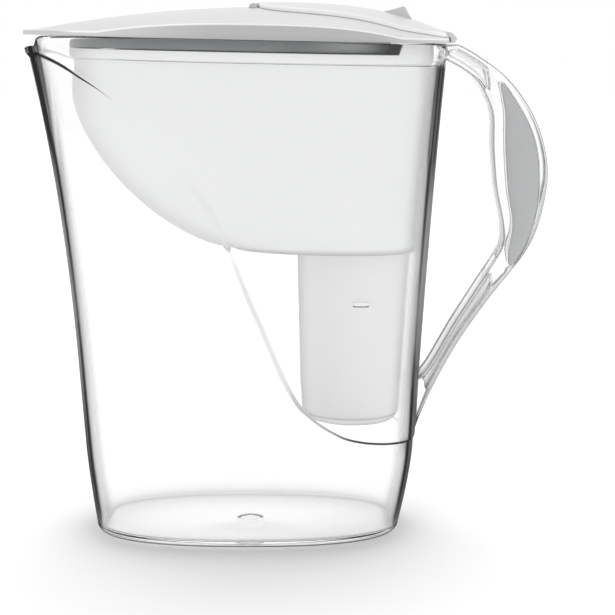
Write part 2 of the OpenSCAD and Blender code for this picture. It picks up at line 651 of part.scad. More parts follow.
lug_w = pin_l + 1.2;

pin_span = barrel_l + 2 * hinge_gap + 2 * pin_l;

module along_y(r, y, l) { translate([0, y, 0]) rotate([-90, 0, 0]) cylinder(r = r, h = l, $fn = 48); }
module lid_shell() {
    dome = [0, 0.05, 0.12, 0.25, 0.45, 0.7, 1];
    color([0.86, 0.86, 0.86])
    at_rim() difference() {
        union() {
            ring_tube(concat(
                [lid_edge_row(seat_gap, 0)],
                [for (s = dome) lid_row(s, 0, 0)],
                [for (s = [1, 0.7, 0.45, 0.25, 0.1]) lid_row(s, lid_t, 0)],
                [lid_edge_row(-lid_t * 0.8, lid_t), lid_edge_row(seat_gap, lid_t)]));
            for (s = [-1, 1]) translate([hinge_x, 0, hinge_z]) {
                y = s > 0 ? barrel_l / 2 + hinge_gap : -barrel_l / 2 - hinge_gap - lug_w;
                along_y(barrel_r, y, lug_w);
                translate([-barrel_r, y, -barrel_r]) cube([2 * barrel_r, lug_w, barrel_r]);
            }
        }
        translate([hinge_x, 0, hinge_z]) along_y(pin_r + pin_gap, -pin_span / 2, pin_span);
        translate([hinge_x - barrel_r - hinge_gap, -barrel_l / 2 - hinge_gap, hinge_z - 2 * barrel_r])
            cube([2 * barrel_r + arm_l + 3, barrel_l + 2 * hinge_gap, 4 * barrel_r]);
    }
}

// ---- skirt -----------------------------------------------------------
skirt_room = 2;
skirt_reach = flange_reach - seat_gap;
skirt_sink = 0.3;       // how far the skirt is moulded into the lid
skirt_half = flange_half - skirt_room;
skirt_low = flange_top - seat_gap;
function skirt_row(inset, up) = [for (j = [0:columns - 1])
    let (p = plan_point(angle(j), skirt_reach - inset, skirt_back - inset, skirt_half - inset, rim_q, back_q))
    [p[0], p[1], up ? lid_top(p[0], p[1]) - lid_t + skirt_sink : -skirt_low]];
module lid_skirt() {
    color([0.45, 0.46, 0.47])
    at_rim() ring_tube([skirt_row(0, false), skirt_row(0, true), skirt_row(skirt_t, true),
        skirt_row(skirt_t, false)]);
}

// ---- flap ------------------------------------------------------------
flap_front = hinge_x + barrel_r + hinge_gap;
function flap_row(s, up) = let (h = (flap_back - flap_front) / 2) [for (j = [0:columns - 1])
    let (p = plan_point(angle(j), h * s, h * s, flap_half * s, 4, 2.2), x = p[0] + flap_front + h)
    [x, p[1], lid_top(x, p[1]) + up]];
module flap() {
    low = seat_gap;
    top = seat_gap + flap_t;
    tab_x = flap_back - tab_in;
    function flap_skin(x) = dome_at(x) + top;
    lip_end = lid_back + lip_out;
    lip_in = 5;         // how far the lip starts inside the flap's end
    lip_low = 0.7;
    color([0.88, 0.88, 0.88])
    at_rim() union() {
        ring_solid(concat(
            [for (s = [0.02, 0.3, 0.6, 0.85, 1]) flap_row(s, low)],
            [for (s = [1, 0.97, 0.85, 0.6, 0.3, 0.02]) flap_row(s, s == 1 ? top - 0.7 : top)]));
        translate([hinge_x, 0, hinge_z]) {
            along_y(barrel_r, -barrel_l / 2, barrel_l);
            along_y(pin_r, -pin_span / 2 + hinge_gap, pin_span - 2 * hinge_gap);
            translate([0, -barrel_l / 2, barrel_r + barrel_sink - flap_t]) cube([barrel_r + arm_l, barrel_l, flap_t - barrel_sink]);
        }
        plate([[tab_x - 11, flap_skin(tab_x - 11) - 1.4], [tab_x - 10, flap_skin(tab_x - 10)],
            [tab_x - 1.5, flap_skin(tab_x) + tab_h], [tab_x + 0.5, flap_skin(tab_x) + tab_h],
            [tab_x + 4, flap_skin(tab_x + 4)], [tab_x + 4, flap_skin(tab_x + 4) - 1.4]], tab_w);
        plate([[flap_back - lip_in, flap_skin(flap_back - lip_in) - 1.4],
            [flap_back - lip_in, flap_skin(flap_back - lip_in)], [lid_back + 1, flap_skin(flap_back) + 0.5],
            [lip_end - 1.4, flap_skin(flap_back) - 0.9], [lip_end, lip_low + 2.4], [lip_end - 1.2, lip_low],
            [lid_back + seat_gap, lip_low],
            [lid_back + seat_gap, flap_skin(flap_back) - flap_t]], rear_lip_w);
    }
}

jug_body();
handle_frame();
grip_front();
grip_back();
funnel_hopper();
filter_housing();
cartridge_shell();
cartridge_cap();
inlet_screen();
filter_media();
outlet_screen();
lid_shell();
lid_skirt();
flap();
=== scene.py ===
# %% [markdown]
# # A water filter pitcher with a flip lid
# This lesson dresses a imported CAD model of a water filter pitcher: a clear jug
# with a loop handle, a milky funnel that holds a filter cartridge, and a domed
# grey lid with a hinged flap. The CAD model is the frame. Every surface made
# here is worked out from the same few numbers as the CAD model, only finer, so
# it lands exactly where the CAD solid is.

# %% The frame
import math
import bmesh
import bpy
import numpy as np
from mathutils.geometry import tessellate_polygon
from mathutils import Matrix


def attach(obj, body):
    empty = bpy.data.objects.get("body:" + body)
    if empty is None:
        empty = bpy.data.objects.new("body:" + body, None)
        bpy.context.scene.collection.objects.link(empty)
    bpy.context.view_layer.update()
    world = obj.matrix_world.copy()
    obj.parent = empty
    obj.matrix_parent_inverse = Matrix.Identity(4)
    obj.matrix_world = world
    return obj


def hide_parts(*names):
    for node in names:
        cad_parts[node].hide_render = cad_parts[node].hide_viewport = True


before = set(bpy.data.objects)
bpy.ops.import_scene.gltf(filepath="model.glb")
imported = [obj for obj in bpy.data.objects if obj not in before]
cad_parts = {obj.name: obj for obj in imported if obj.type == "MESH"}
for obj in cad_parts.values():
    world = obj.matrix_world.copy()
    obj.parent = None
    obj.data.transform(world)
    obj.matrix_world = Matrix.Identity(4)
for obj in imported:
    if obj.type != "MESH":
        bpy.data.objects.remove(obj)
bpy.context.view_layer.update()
scene = bpy.context.scene

# %% [markdown]
# ## Camera
# The camera comes first. It stands almost a metre in front of the pitcher, at
# the height of the rim, and looks down by nine degrees, so the lid is seen
# nearly edge on and the floor of the jug opens into a narrow oval.

# %% Camera
CAMERA_AT = (0.01143, -0.9085, 0.2641)      # metres
LOOK_DOWN = 9.1328                          # degrees
lens = bpy.data.cameras.new("view")
lens.lens = 100.68
lens.sensor_width = 36.0
camera = bpy.data.objects.new("view", lens)
camera.location = CAMERA_AT
camera.rotation_euler = (math.radians(90 - LOOK_DOWN), 0.0, 0.0)
scene.collection.objects.link(camera)
scene.camera = camera
scene.view_settings.view_transform = "Standard"
print("camera", [round(v, 4) for v in camera.location])

# %% [markdown]
# ## Helpers for node trees
# Materials and the world are trees of nodes. A few short functions add a node
# with plain numbers on its own sockets and link it to others, so that each
# tree below reads as a list of steps.

# %% Node helpers
def link(tree, a, b):
    """Joins the output a to the input b."""
    tree.links.new(a, b)

def node(tree, kind, **values):
    """A shader node of the kind, with the values on its inputs of those names."""
    made = tree.nodes.new("ShaderNode" + kind)
    for key, value in values.items():
        made.inputs[key.replace("_", " ")].default_value = value
    return made

def math_node(tree, operation, a, b):
    """The output of a sum whose two sides are outputs or plain numbers."""
    made = node(tree, "Math")
    made.operation = operation
    for socket, value in zip(made.inputs, (a, b)):
        if isinstance(value, (int, float)):
            socket.default_value = value
        else:
            link(tree, value, socket)
    return made.outputs[0]

# %% [markdown]
# ## The floor and the light
# Clear plastic on white is drawn by its edges, so the surroundings are plain
# white. A soft sun stands high behind the pitcher: it lights the top of the
# lid, shines into the milky funnel from behind and throws the shadow toward
# the viewer. The world fills in from the front at a lower level, which leaves
# the lid's upright side darker than its top. Rays from the camera, mirror rays
# and rays through clear plastic see the world as plain white.

# %% Floor
def add_stage_plane(name, half, z, colour):
    """A square plane of the given half width at height z, in metres, as stage."""
    mesh = bpy.data.meshes.new(name)
    corners = [(-half, -half, z), (half, -half, z), (half, half, z), (-half, half, z)]
    mesh.from_pydata(corners, [], [(0, 1, 2, 3)])
    plane = bpy.data.objects.new(name, mesh)
    scene.collection.objects.link(plane)
    mat = bpy.data.materials.new(name)
    mat.use_nodes = True
    tree = mat.node_tree
    shader = tree.nodes["Principled BSDF"]
    shader.inputs["Roughness"].default_value = 0.9
    shader.inputs["Specular IOR Level"].default_value = 0.0
    coord = node(tree, "TexCoord")
    grain = node(tree, "TexNoise", Scale=3.0)
    paper = node(tree, "MixRGB", Color1=(*[c * 0.995 for c in colour], 1), Color2=(*colour, 1))
    link(tree, coord.outputs["Object"], grain.inputs["Vector"])
    link(tree, grain.outputs["Fac"], paper.inputs["Fac"])
    link(tree, paper.outputs["Color"], shader.inputs["Base Color"])
    mesh.materials.append(mat)

STAGE_HALF, STAGE_Z = 6.0, -0.0002      # metres
add_stage_plane("floor", STAGE_HALF, STAGE_Z, (1.0, 1.0, 1.0))
print("floor", 2 * STAGE_HALF, "m wide")

# %% World and sun
FILL = 0.88      # how bright the world is for plain surfaces

def add_world():
    """A white world that lights plain surfaces at the fill level and is seen
    at full white by the camera, by mirror rays and through clear plastic."""
    world = bpy.data.worlds.new("studio")
    scene.world = world
    world.use_nodes = True
    tree = world.node_tree
    tree.nodes.clear()
    path = node(tree, "LightPath")
    seen = math_node(tree, "MAXIMUM", path.outputs["Is Camera Ray"], path.outputs["Is Glossy Ray"])
    clear_seen = math_node(tree, "MAXIMUM", seen, path.outputs["Is Transmission Ray"])
    level = node(tree, "MapRange", To_Min=FILL, To_Max=1.0)
    back = node(tree, "Background", Color=(1, 1, 1, 1))
    out = node(tree, "OutputWorld")
    link(tree, clear_seen, level.inputs["Value"])
    link(tree, level.outputs["Result"], back.inputs["Strength"])
    link(tree, back.outputs[0], out.inputs["Surface"])

def add_sun(name, azimuth, elevation, share, soft):
    """A sun whose light comes from azimuth (0 is the viewer's side, 180 behind)
    and elevation, in degrees. share is the part of a white level surface's
    brightness that it gives, and soft its width in degrees."""
    data = bpy.data.lights.new(name, "SUN")
    data.angle = math.radians(soft)
    data.energy = math.pi * share / math.sin(math.radians(elevation))
    obj = bpy.data.objects.new(name, data)
    obj.rotation_euler = (math.radians(90 - elevation), 0.0, math.radians(azimuth))
    scene.collection.objects.link(obj)

add_world()
add_sun("sun_behind", 176, 62, 0.26, 45)
print("world fill", FILL)

# %% [markdown]
# ## Surfaces on a grid
# Every piece below is a grid of points in millimetres: rows along a profile
# and columns round the piece. Neighbours are joined by quads, and a row can be
# closed with a pole. Working on whole arrays keeps the formulas readable.

# %% Grid helpers
MM = 0.001

def grid_faces(rows, cols, wrap_rows=False):
    """Quads between neighbouring rows; the columns always wrap round. Point
    (i, j) has the index i * cols + j."""
    i = np.arange(rows if wrap_rows else rows - 1)[:, None]
    j = np.arange(cols)[None, :]
    up, on = (i + 1) % rows, (j + 1) % cols
    return np.stack([i * cols + j, i * cols + on, up * cols + on, up * cols + j], -1).reshape(-1, 4)

def skin(rings, pole_in=None, pole_out=None, wrap=False):
    """Points and faces of a surface through the rings (rows, columns, 3), which
    run counter-clockwise seen from above. A pole is one point that closes the
    first or the last ring with a fan."""
    rings = np.asarray(rings, float)
    rows, cols = rings.shape[:2]
    points = rings.reshape(-1, 3)
    faces = grid_faces(rows, cols, wrap_rows=wrap).tolist()
    j = np.arange(cols)
    if pole_in is not None:
        points = np.vstack([points, pole_in])
        faces += np.stack([np.full(cols, len(points) - 1), (j + 1) % cols, j], 1).tolist()
    if pole_out is not None:
        points = np.vstack([points, pole_out])
        last = (rows - 1) * cols
        faces += np.stack([last + j, last + (j + 1) % cols, np.full(cols, len(points) - 1)], 1).tolist()
    return points, faces

def merge(*parts):
    """Several (points, faces) pairs as one."""
    points, faces, at = [], [], 0
    for p, f in parts:
        points.append(np.asarray(p, float))
        faces += [[at + int(k) for k in face] for face in f]
        at += len(p)
    return np.vstack(points), faces

def make_piece(name, shape, body, replaces=(), sharp=40.0, marks=None):
    """A mesh object from points in mm and faces, smooth but for edges sharper
    than the angle, riding on a body and standing for CAD nodes. marks are
    numbers stored on its points for the material to read, by name."""
    points, faces = shape
    mesh = bpy.data.meshes.new(name)
    mesh.from_pydata((np.asarray(points) * MM).tolist(), [], [list(f) for f in faces])
    mesh.polygons.foreach_set("use_smooth", np.ones(len(mesh.polygons), bool))
    mesh.set_sharp_from_angle(angle=math.radians(sharp))
    for key, values in (marks or {}).items():
        layer = mesh.attributes.new(key, "FLOAT", "POINT")
        layer.data.foreach_set("value", np.asarray(values, np.float32))
    mesh.update()
    obj = bpy.data.objects.new(name, mesh)
    scene.collection.objects.link(obj)
    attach(obj, body)
    if replaces:
        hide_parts(*replaces)
    print(f"{name}: {len(mesh.vertices)} points, {len(mesh.polygons)} faces")
    return obj

def span(a, b, n, ends=True):
    """n evenly spaced numbers from a to b, with or without the last."""
    return np.linspace(a, b, n, endpoint=ends)

def mix(a, b, t):
    """The straight way from a to b as t runs from 0 to 1."""
    return a + (b - a) * t

def smooth(t):
    """The S curve 3t^2 - 2t^3 on t held between 0 and 1."""
    t = np.clip(t, 0, 1)
    return t * t * (3 - 2 * t)

# %% [markdown]
# ## The jug's plan and walls
# Seen from above the jug is an oval with straight flanks: a superellipse,
# |x/a|^p + |y/b|^q = 1. Near the base both ends are full. Toward the rim the
# spout end draws to a sharp prow, which is only a change of the power q. The
# reach toward the spout and the handle and the half depth grow with height.

# %% Sizes of the jug, in millimetres
RIM_H, WAIST, WAIST_H, WAIST_DEPTH = 259.6, 87.7, 45.0, 55.6
FRONT_TAPER, SPOUT_SWEEP, BACK_TAPER, BACK_SWEEP, DEPTH_TAPER = 0.0755, 12.3, 0.055, 4.0, 0.055
DRAW, DRAW_BACK = 2.6, 6.0
WALL, COLLAR, FLOOR_T, BOTTOM_R, LEDGE = 3.0, 1.7, 3.0, 4.0, 11.0
TILT = math.radians(1.2)
SPOUT_DROP, SPOUT_L, STEP, FLARE, PROW = 5.5, 9.0, 0.8, 0.8, 5.5
SPOUT_ROOM = 23.8        # from the spout's edge to the funnel's flange
PLAN_P, BASE_Q, BACK_Q, RIM_Q = 2.4, 3.0, 2.3, 0.95
FULL_TO = 0.4            # the share of the height where the prow begins
MID_X = 19.6719          # from the jug's own middle to the middle of the whole

def plan(a, reach, back, depth, q_front, q_back=BACK_Q):
    """Points of a superellipse: the cosine and sine of a, each to the power
    2/p or 2/q with its sign kept, times the reach and the depth."""
    c, s = np.cos(a), np.sin(a)
    q = np.where(c < 0, q_front, q_back)
    x = np.where(c < 0, reach, back) * np.sign(c) * np.abs(c) ** (2 / PLAN_P)
    y = depth * np.sign(s) * np.abs(s) ** (2 / q)
    return x, y

def under_waist(z):
    """0 at the waist and 1 at the base, by a power of 1.5."""
    return np.maximum(0, (WAIST_H - z) / WAIST_H) ** 1.5

def jug_reach(z):
    """Straight taper above the waist, drawn in below it, swept out by a square law near the rim."""
    return (WAIST + FRONT_TAPER * (z - WAIST_H) - DRAW * under_waist(z)
        + SPOUT_SWEEP * np.maximum(0, (z - 2 * WAIST_H) / (RIM_H - 2 * WAIST_H)) ** 2)

def jug_back(z):
    """The same toward the handle, where the square law starts at the waist."""
    return (WAIST + BACK_TAPER * (z - WAIST_H) - DRAW_BACK * under_waist(z)
        + BACK_SWEEP * np.maximum(0, (z - WAIST_H) / (RIM_H - WAIST_H)) ** 2)

def jug_depth(z):
    """Half depth: a straight taper, drawn in below the waist."""
    return WAIST_DEPTH + DEPTH_TAPER * (z - WAIST_H) - 0.7 * DRAW * under_waist(z)

def jug_qb(z):
    """Power of the handle end: high at the base, and even from 0.4 of the height up."""
    return mix(BASE_Q, BACK_Q, np.clip(z / RIM_H / FULL_TO, 0, 1))

def jug_qf(z):
    """Power of the spout end: the same at first, then straight down to the prow's at the rim."""
    return mix(jug_qb(z), RIM_Q, np.clip((z / RIM_H - FULL_TO) / (1 - FULL_TO), 0, 1))

def jug_plan(a, z, inset, prow=0.0):
    """The jug's plan at height z, moved in by the inset, and by prow too at the spout."""
    reach, back, depth = jug_reach(z) - inset - prow, jug_back(z) - inset, jug_depth(z) - inset
    return plan(a, reach, back, depth, jug_qf(z), jug_qb(z))

# %% The step line
# An S from the spout's tip down to the handle's foot. The wall above it stands
# proud by a fraction of a millimetre, and more at the spout.
CREASE = np.array([[-1.539, 0.994], [-1.277, 0.9765], [-0.969, 0.932], [-0.593, 0.842], [-0.171, 0.6665],
    [0.091, 0.4505], [0.296, 0.2965], [0.570, 0.2235], [0.958, 0.1965], [1.254, 0.1885]]) * [WAIST, RIM_H]

def cubic(a, b, c, d, t):
    """The Catmull-Rom cubic: from b to c as t runs from 0 to 1, with a and d on either side."""
    return 0.5 * (2 * b + (c - a) * t + (2 * a - 5 * b + 4 * c - d) * t**2 + (3 * b - a - 3 * c + d) * t**3)

def crease_at(x):
    """Height of the step line at x, by the cubic through four neighbouring points."""
    cx, cz = CREASE.T
    i = np.clip(np.searchsorted(cx, x, side="left") - 1, 0, len(cx) - 2)
    t = np.clip((x - cx[i]) / (cx[i + 1] - cx[i]), 0, 1)
    return cubic(cz[np.maximum(0, i - 1)], cz[i], cz[i + 1], cz[np.minimum(len(cx) - 1, i + 2)], t)

def step_out(x):
    """How far the wall stands proud above the step line: even, and more at the spout by a sixth power."""
    return STEP + FLARE * np.clip(-x / jug_reach(RIM_H), 0, 1) ** 6

def rim_plane(x):
    """Height of the rim's plane, which leans by the tilt."""
    return RIM_H - math.tan(TILT) * x

def rim_z(x):
    """Height of the lip: the rim's plane, lower along the spout."""
    return rim_plane(x) - SPOUT_DROP * smooth((-x - jug_reach(RIM_H) + SPOUT_L) / (SPOUT_L * 0.5))

COLS = 288
angle = span(0, 2 * math.pi, COLS, ends=False)
crease_z = np.full(COLS, RIM_H * 0.55)
for _ in range(5):
    crease_z = crease_at(jug_plan(angle, crease_z, 0)[0])
top_z = rim_z(jug_plan(angle, np.full(COLS, RIM_H), 0)[0])
crease_x = jug_plan(angle, crease_z, 0)[0]
step = step_out(crease_x)
print("step line from", round(float(crease_z.min()), 1), "to", round(float(crease_z.max()), 1))

# %% [markdown]
# ## What makes clear plastic visible
# A clear wall is seen by what light does inside it. Near the walls' ends the
# real one looks dark, because there it is met edge on. A renderer that traced
# the real room would show this by itself. In a plain white room it is painted
# in as shade, so each point of the clear pieces stores four marks for the
# material: dark, the painted shade seen from any side; ends, the painted shade
# where it is met at a slant; edge, how far the painted shade deepens as it turns
# away; and passing, how much of a lamp's light it lets through, which also
# paints a shadow round the foot and a pool of light under the floor. The first
# three are worked out from the distance in millimetres to an end, an edge or
# the step line, and the last from height.

# %% Painted shade near the ends of the jug's walls
def bump_at(t, centre, width):
    """A soft bell: 1 at the centre, 0 beyond the width on either side."""
    return smooth(1 - np.abs(t - centre) / width)

def along(z, *places):
    """A value that runs in straight steps over the height z, through (height, value) pairs."""
    at, value = np.array(places, float).T
    return np.interp(z, at, value)

def under_ledge(z):
    """1 below the ledge at the handle end and 0 in the collar above it."""
    return smooth((RIM_H - LEDGE - 1.7 - z) / 1.2)

# (height, level) of the pale fade, the grey rim and the dark core
PALE = (0, 0.5), (15, 0.54), (30, 0.6), (55, 0.4), (75, 0.2), (123, 0.08), (176, 0.26), (202, 0.5)
GREY = (0, 0.4), (15, 0.58), (26, 0.82), (45, 0.74), (70, 0.45), (123, 0.1), (176, 0.22), (202, 0.52)
CORE = ((0, 0.4), (15, 0.62), (26, 0.96), (45, 0.97), (70, 0.93), (95, 0.74), (123, 0.46), (150, 0.66),
    (176, 0.92), (202, 0.97))
# and the share of them at the handle end
HANDLE_PALE = (60, 0.78), (100, 0.25), (135, 0.4), (176, 0.78)
HANDLE_CORE = (60, 0.98), (78, 0.9), (98, 0.5), (135, 0.72), (176, 0.68), (190, 0.76)
HANDLE_LINES = (2.3, 0.92), (4.3, 0.84), (6.1, 0.58)      # mm from the end, level

def wall_tones(d, z, at_front):
    """At d mm from an end: a grey rim, a dark core a little more than a wall's
    thickness in, and a pale fade over both."""
    core = np.where(at_front, 4.5, along(z, (60, 3.9), (110, 4.5), (190, 4.9)))
    share = np.where(at_front, 1.0, along(z, *HANDLE_PALE))
    pale = share * along(z, *PALE) * smooth((d - 0.3) / 0.7) * smooth((core + 2.6 - d) / 2.0)
    grey = share * along(z, *GREY) * bump_at(d, core - 2.4, 0.9)
    dark = np.where(at_front, 1.0, along(z, *HANDLE_CORE)) * along(z, *CORE) * bump_at(d, core, 1.8)
    return np.maximum(np.maximum(pale, grey), dark)

def prow_tones(d, z):
    """Painted shade in the solid prow behind the spout's edge: nearly black, with a second line beside it."""
    start = along(z, (196, 2.6), (215, 0.5))
    stop = along(z, (200, 5.0), (228, 4.5), (249, 3.8))
    end = along(z, (200, 5.8), (228, 7.3), (249, 7.9))
    black = 0.97 * smooth((d - start) / 0.7) * smooth((stop + 0.5 - d) / 1.0)
    grey = 0.52 * smooth(d / 0.6) * smooth((end - d) / 0.7)
    second = along(z, (205, 0), (228, 0.66), (249, 0.88)) * bump_at(d, end - 1.0, 1.2)
    return np.maximum(np.maximum(black, grey), second)

def handle_tones(d, z):
    """Three lines side by side, which stop at the ledge."""
    lines = 0.32 * smooth((d - 0.4) / 0.6) * smooth((7.0 - d) / 0.9)
    for place, level in HANDLE_LINES:
        lines = np.maximum(lines, level * bump_at(d, place, 0.85))
    return lines * under_ledge(z)

def end_lines(x, z):
    """How dark the painted shade is close to the wall's two ends: the wall's own
    lines low down, the prow's and the handle end's above, and a soft grey beside them."""
    z = np.broadcast_to(z, x.shape)
    raised = step_out(x) * (z > crease_at(x))
    front, back = jug_reach(z) + x, jug_back(z) - x + raised
    at_front = front < back
    d = np.minimum(front, back)
    high = np.where(at_front, prow_tones(d, z), handle_tones(d, z))
    total = mix(wall_tones(d, z, at_front), high, smooth((z - 192) / 14))
    shown = np.where(at_front, 1.0, under_ledge(z))
    soft = 0.2 * np.clip((16 - d) / 10, 0, 1) ** 1.3 * smooth(d / 0.6) * shown
    return np.clip(np.maximum(total, soft), 0, 1)

def step_strength(x, y):
    """How dark the painted line of the step is: sharp near the spout, soft in the
    middle, sharp again by the handle's foot, and fainter on the far side."""
    spout = 0.99 * smooth((-x - 68) / 8)
    middle = 0.04 * smooth((x + 34) / 12) + 0.27 * smooth((x + 10) / 8)
    foot = 0.97 * smooth((x - 26) / 30)
    return (spout + np.maximum(middle, foot)) * np.where(y < 0, 1.0, 0.3)

# %% [markdown]
# ## Jug
# One closed skin: from the gate mark under the floor out to the base's edge,
# up the outer wall, over the step line, round the lip, down the collar to the
# ledge that carries the funnel, down the inner wall and over the floor. The
# step is sharp at both ends of the S and soft in its middle, where it is only
# a faint line.

# %% Jug surface
# the round mark where the plastic was let in, as (radius, height, dark) under the floor and on it; dark is
# painted shade on its rings
GATE_BELOW = ((2.0, 0.8, 0), (3.6, 0.8, 0.1), (4.6, 0.62, 0.25), (5.6, 0.25, 0.1), (6.4, 0.04, 0),
    (7.2, 0.0, 0))
GATE_ABOVE = (7.6, 3.0, 0.02), (7.0, 3.06, 0.25), (6.2, 3.3, 0.08), (5.0, 3.4, 0.0), (2.5, 3.4, 0.15)
GATE_LOW, GATE_HIGH = (0, 0, 0.8), (0, 0, 3.4)
# painted light: the flat floor lets through 1.2 times the light, more than reaches it, standing in for the
# light the walls gather under the base
FLOOR_LIGHT = 1.2      # the flat floor gathers light from the walls above it
QUARTER = math.pi / 2

def ring(x, y, z):
    """One ring of points, at one height or a height for each."""
    return np.stack([x, y, np.broadcast_to(z, x.shape)], -1)

def prow_extra(z):
    """How much thicker the wall is behind the spout's edge."""
    return PROW * np.maximum(0, 2 * z / RIM_H - 1) ** 2

def collar_in():
    """Thickness of the collar round the rim: the full wall by the spout, thinner
    beside the funnel's flange."""
    x = jug_plan(angle, np.full(COLS, RIM_H), 0)[0]
    return mix(WALL, COLLAR, smooth((x + jug_reach(RIM_H) - SPOUT_ROOM - 14) / 24))

def step_width():
    """Height of the band that the step takes: wide in the middle of the S, narrow
    at both of its ends."""
    sharp = np.clip(smooth((-crease_x - 56) / 10) + smooth((crease_x - 16) / 16), 0, 1)
    spout = mix(1.5, 3.6, smooth((-crease_x - 70) / 25))
    return mix(11.0, np.where(crease_x < 0, spout, 2.0), sharp)

# %% Rings of the jug
def jug_rings():
    """Rings from the gate mark under the floor, up the outside, over the lip and
    down the inside, and the marks of their points by name."""
    a = angle
    rings, marks = [], {"dark": [], "ends": [], "edge": [], "passing": []}
    def add(x, y, z, dark=0.0, edge=0.0, ends=0.0, flat=0.0):
        rings.append(ring(x, y, z))
        # painted shadow and painted light: the passing mark runs from 0.3 at the foot to 1 at 60 mm up the
        # wall, which darkens the floor round the foot, and is FLOOR_LIGHT on the flat floor, a pool of light
        # under the base
        passing = mix(mix(0.3, 1.0, smooth(np.asarray(z) / 60.0)), FLOOR_LIGHT, flat)
        for key, value in (("dark", dark), ("edge", edge), ("ends", ends), ("passing", passing)):
            marks[key].append(np.broadcast_to(value, x.shape))
    def wall(x, y, z, dark=0.0, edge=1.0):
        away = np.minimum(jug_reach(z) + x, jug_back(z) - x)
        at_ends = along(z, (60, 0.3), (100, 0.12), (180, 0.12), (215, 0.3))
        in_collar = smooth((z - RIM_H + 16) / 5) * (x > 0)
        edge = edge * mix(at_ends, 1.0, smooth((away - 6) / 20)) * mix(1.0, 0.05, in_collar)
        add(x, y, z, dark, edge, end_lines(x, z) * smooth((z - 2) / 8))
    def disc(r, z, dark):
        add(r * np.cos(a), r * np.sin(a), z, dark, flat=1.0)
    # the gate mark and the rounded bottom edge, with a painted dark line along the edge that is fainter on
    # the far side
    for r, z, dark in GATE_BELOW:
        disc(r, z, dark)
    for k in span(0, 1, 9):
        x, y = jug_plan(a, BOTTOM_R, BOTTOM_R * (1 - math.sin(k * QUARTER)))
        dark = 0.5 * bump_at(k, 0.3, 0.35) * np.where(y < 0, 1.0, 0.2) if k > 0 else 0.0
        add(x, y, BOTTOM_R * (1 - math.cos(k * QUARTER)), dark, smooth((k - 0.6) / 0.4), flat=1 - k)
    # the wall under the step line, and the step
    cut = np.minimum(crease_z, top_z - 4.8)
    w = step_width()
    for t in span(0, 1, 26)[1:]:
        z = mix(BOTTOM_R, cut - w / 2, t)
        wall(*jug_plan(a, z, 0), z)
    for t in span(0, 1, 11)[1:-1]:
        z = cut - w / 2 + w * t
        x, y = jug_plan(a, z, -step * smooth(t))
        wall(x, y, z, step_strength(x, y) * np.clip(1.7 * bump_at(t, 0.52, 0.48), 0, 1))
    # the wall over it: two rings lie close to the ledge, where the lines of the handle end stop
    collar = collar_in()
    r = collar / 2
    low = rim_plane(jug_plan(a, np.full(COLS, RIM_H - LEDGE), 0)[0]) - LEDGE
    for t in span(0, 1, 24):
        z = mix(cut + w / 2, np.maximum(mix(cut + w / 2, top_z - r, 0.85), low - 1.3), t)
        wall(*jug_plan(a, z, -step), z)
    for t in span(0, 1, 3):
        z = mix(np.maximum(mix(cut + w / 2, top_z - r, 0.9), low), top_z - r, t)
        wall(*jug_plan(a, z, -step), z)
    for k in span(0, math.pi, 9)[1:]:
        z = top_z - r + r * math.sin(k)
        round_in = 1 - math.cos(k)
        wall(*jug_plan(a, z, -step + r * round_in, prow_extra(z) * round_in / 2), z, 0.0, 0.2)
    # the inside: collar, ledge, wall, bottom edge and floor; the floor has a faint painted shade, and the
    # inner bottom edge a painted dark line that is fainter on the far side
    def inner(z, inset):
        x = jug_plan(a, z, 0)[0]
        s = step_out(x) * smooth((z - crease_at(x) + 6) / 12)
        edge = 0.25 * mix(1.0, 0.1, smooth((z - low) / 2) * (x > 0))
        add(*jug_plan(a, z, inset - s, prow_extra(z)), z, 0.0, edge)
    for t in span(0, 1, 5)[1:-1]:
        inner(mix(top_z - r, low + 0.5, t), collar)
    for dz, t in ((0.5, 0.0), (0.12, 0.08), (0.0, 0.3), (-0.02, 0.8), (-0.1, 0.95), (-0.4, 1.0)):
        inner(low + dz, mix(collar, WALL, t))
    inner_r = BOTTOM_R - 1
    for t in span(0, 1, 44)[1:]:
        inner(mix(low - 0.4, FLOOR_T + inner_r, t), np.full(COLS, WALL))
    for k in span(1, 0, 9)[1:]:
        x, y = jug_plan(a, FLOOR_T + inner_r, WALL + inner_r * (1 - math.sin(k * QUARTER)))
        dark = 0.02 + np.where(y < 0, 0.2, 0.06) * bump_at(k, 0.5, 0.3)
        add(x, y, FLOOR_T + inner_r * (1 - math.cos(k * QUARTER)), dark, flat=1 - k)
    for r, z, dark in GATE_ABOVE:
        disc(r, z, dark)
    return np.array(rings), {key: np.concatenate(value) for key, value in marks.items()}

# %% The jug's piece
rings, marks = jug_rings()
points, faces = skin(rings, pole_in=GATE_LOW, pole_out=GATE_HIGH)
points[:, 0] -= MID_X
for key in marks:
    marks[key] = np.append(marks[key], [FLOOR_LIGHT if key == "passing" else 0] * 2)
jug = make_piece("jug_wall", (points, faces), "jug", ["jug_body"], marks=marks)

# %% [markdown]
# ## Handle
# The handle is an open loop of clear plastic with an I-shaped section: two
# rails and a thin web. Its outline comes from the same points as the CAD
# plate. The rim of the plate is a closed outline carried over a rounded edge
# profile, and each of the three hollows is its own outline carried down its
# wall to the web. Flat faces between outlines are filled by triangulation. The
# rim is drawn by painted dark lines along its edges; on the lower arm's upper
# side they leave a clear strip between them, and the far one is the darkest.
# The hollows' walls carry painted shade, and the faces and the web a faint one.

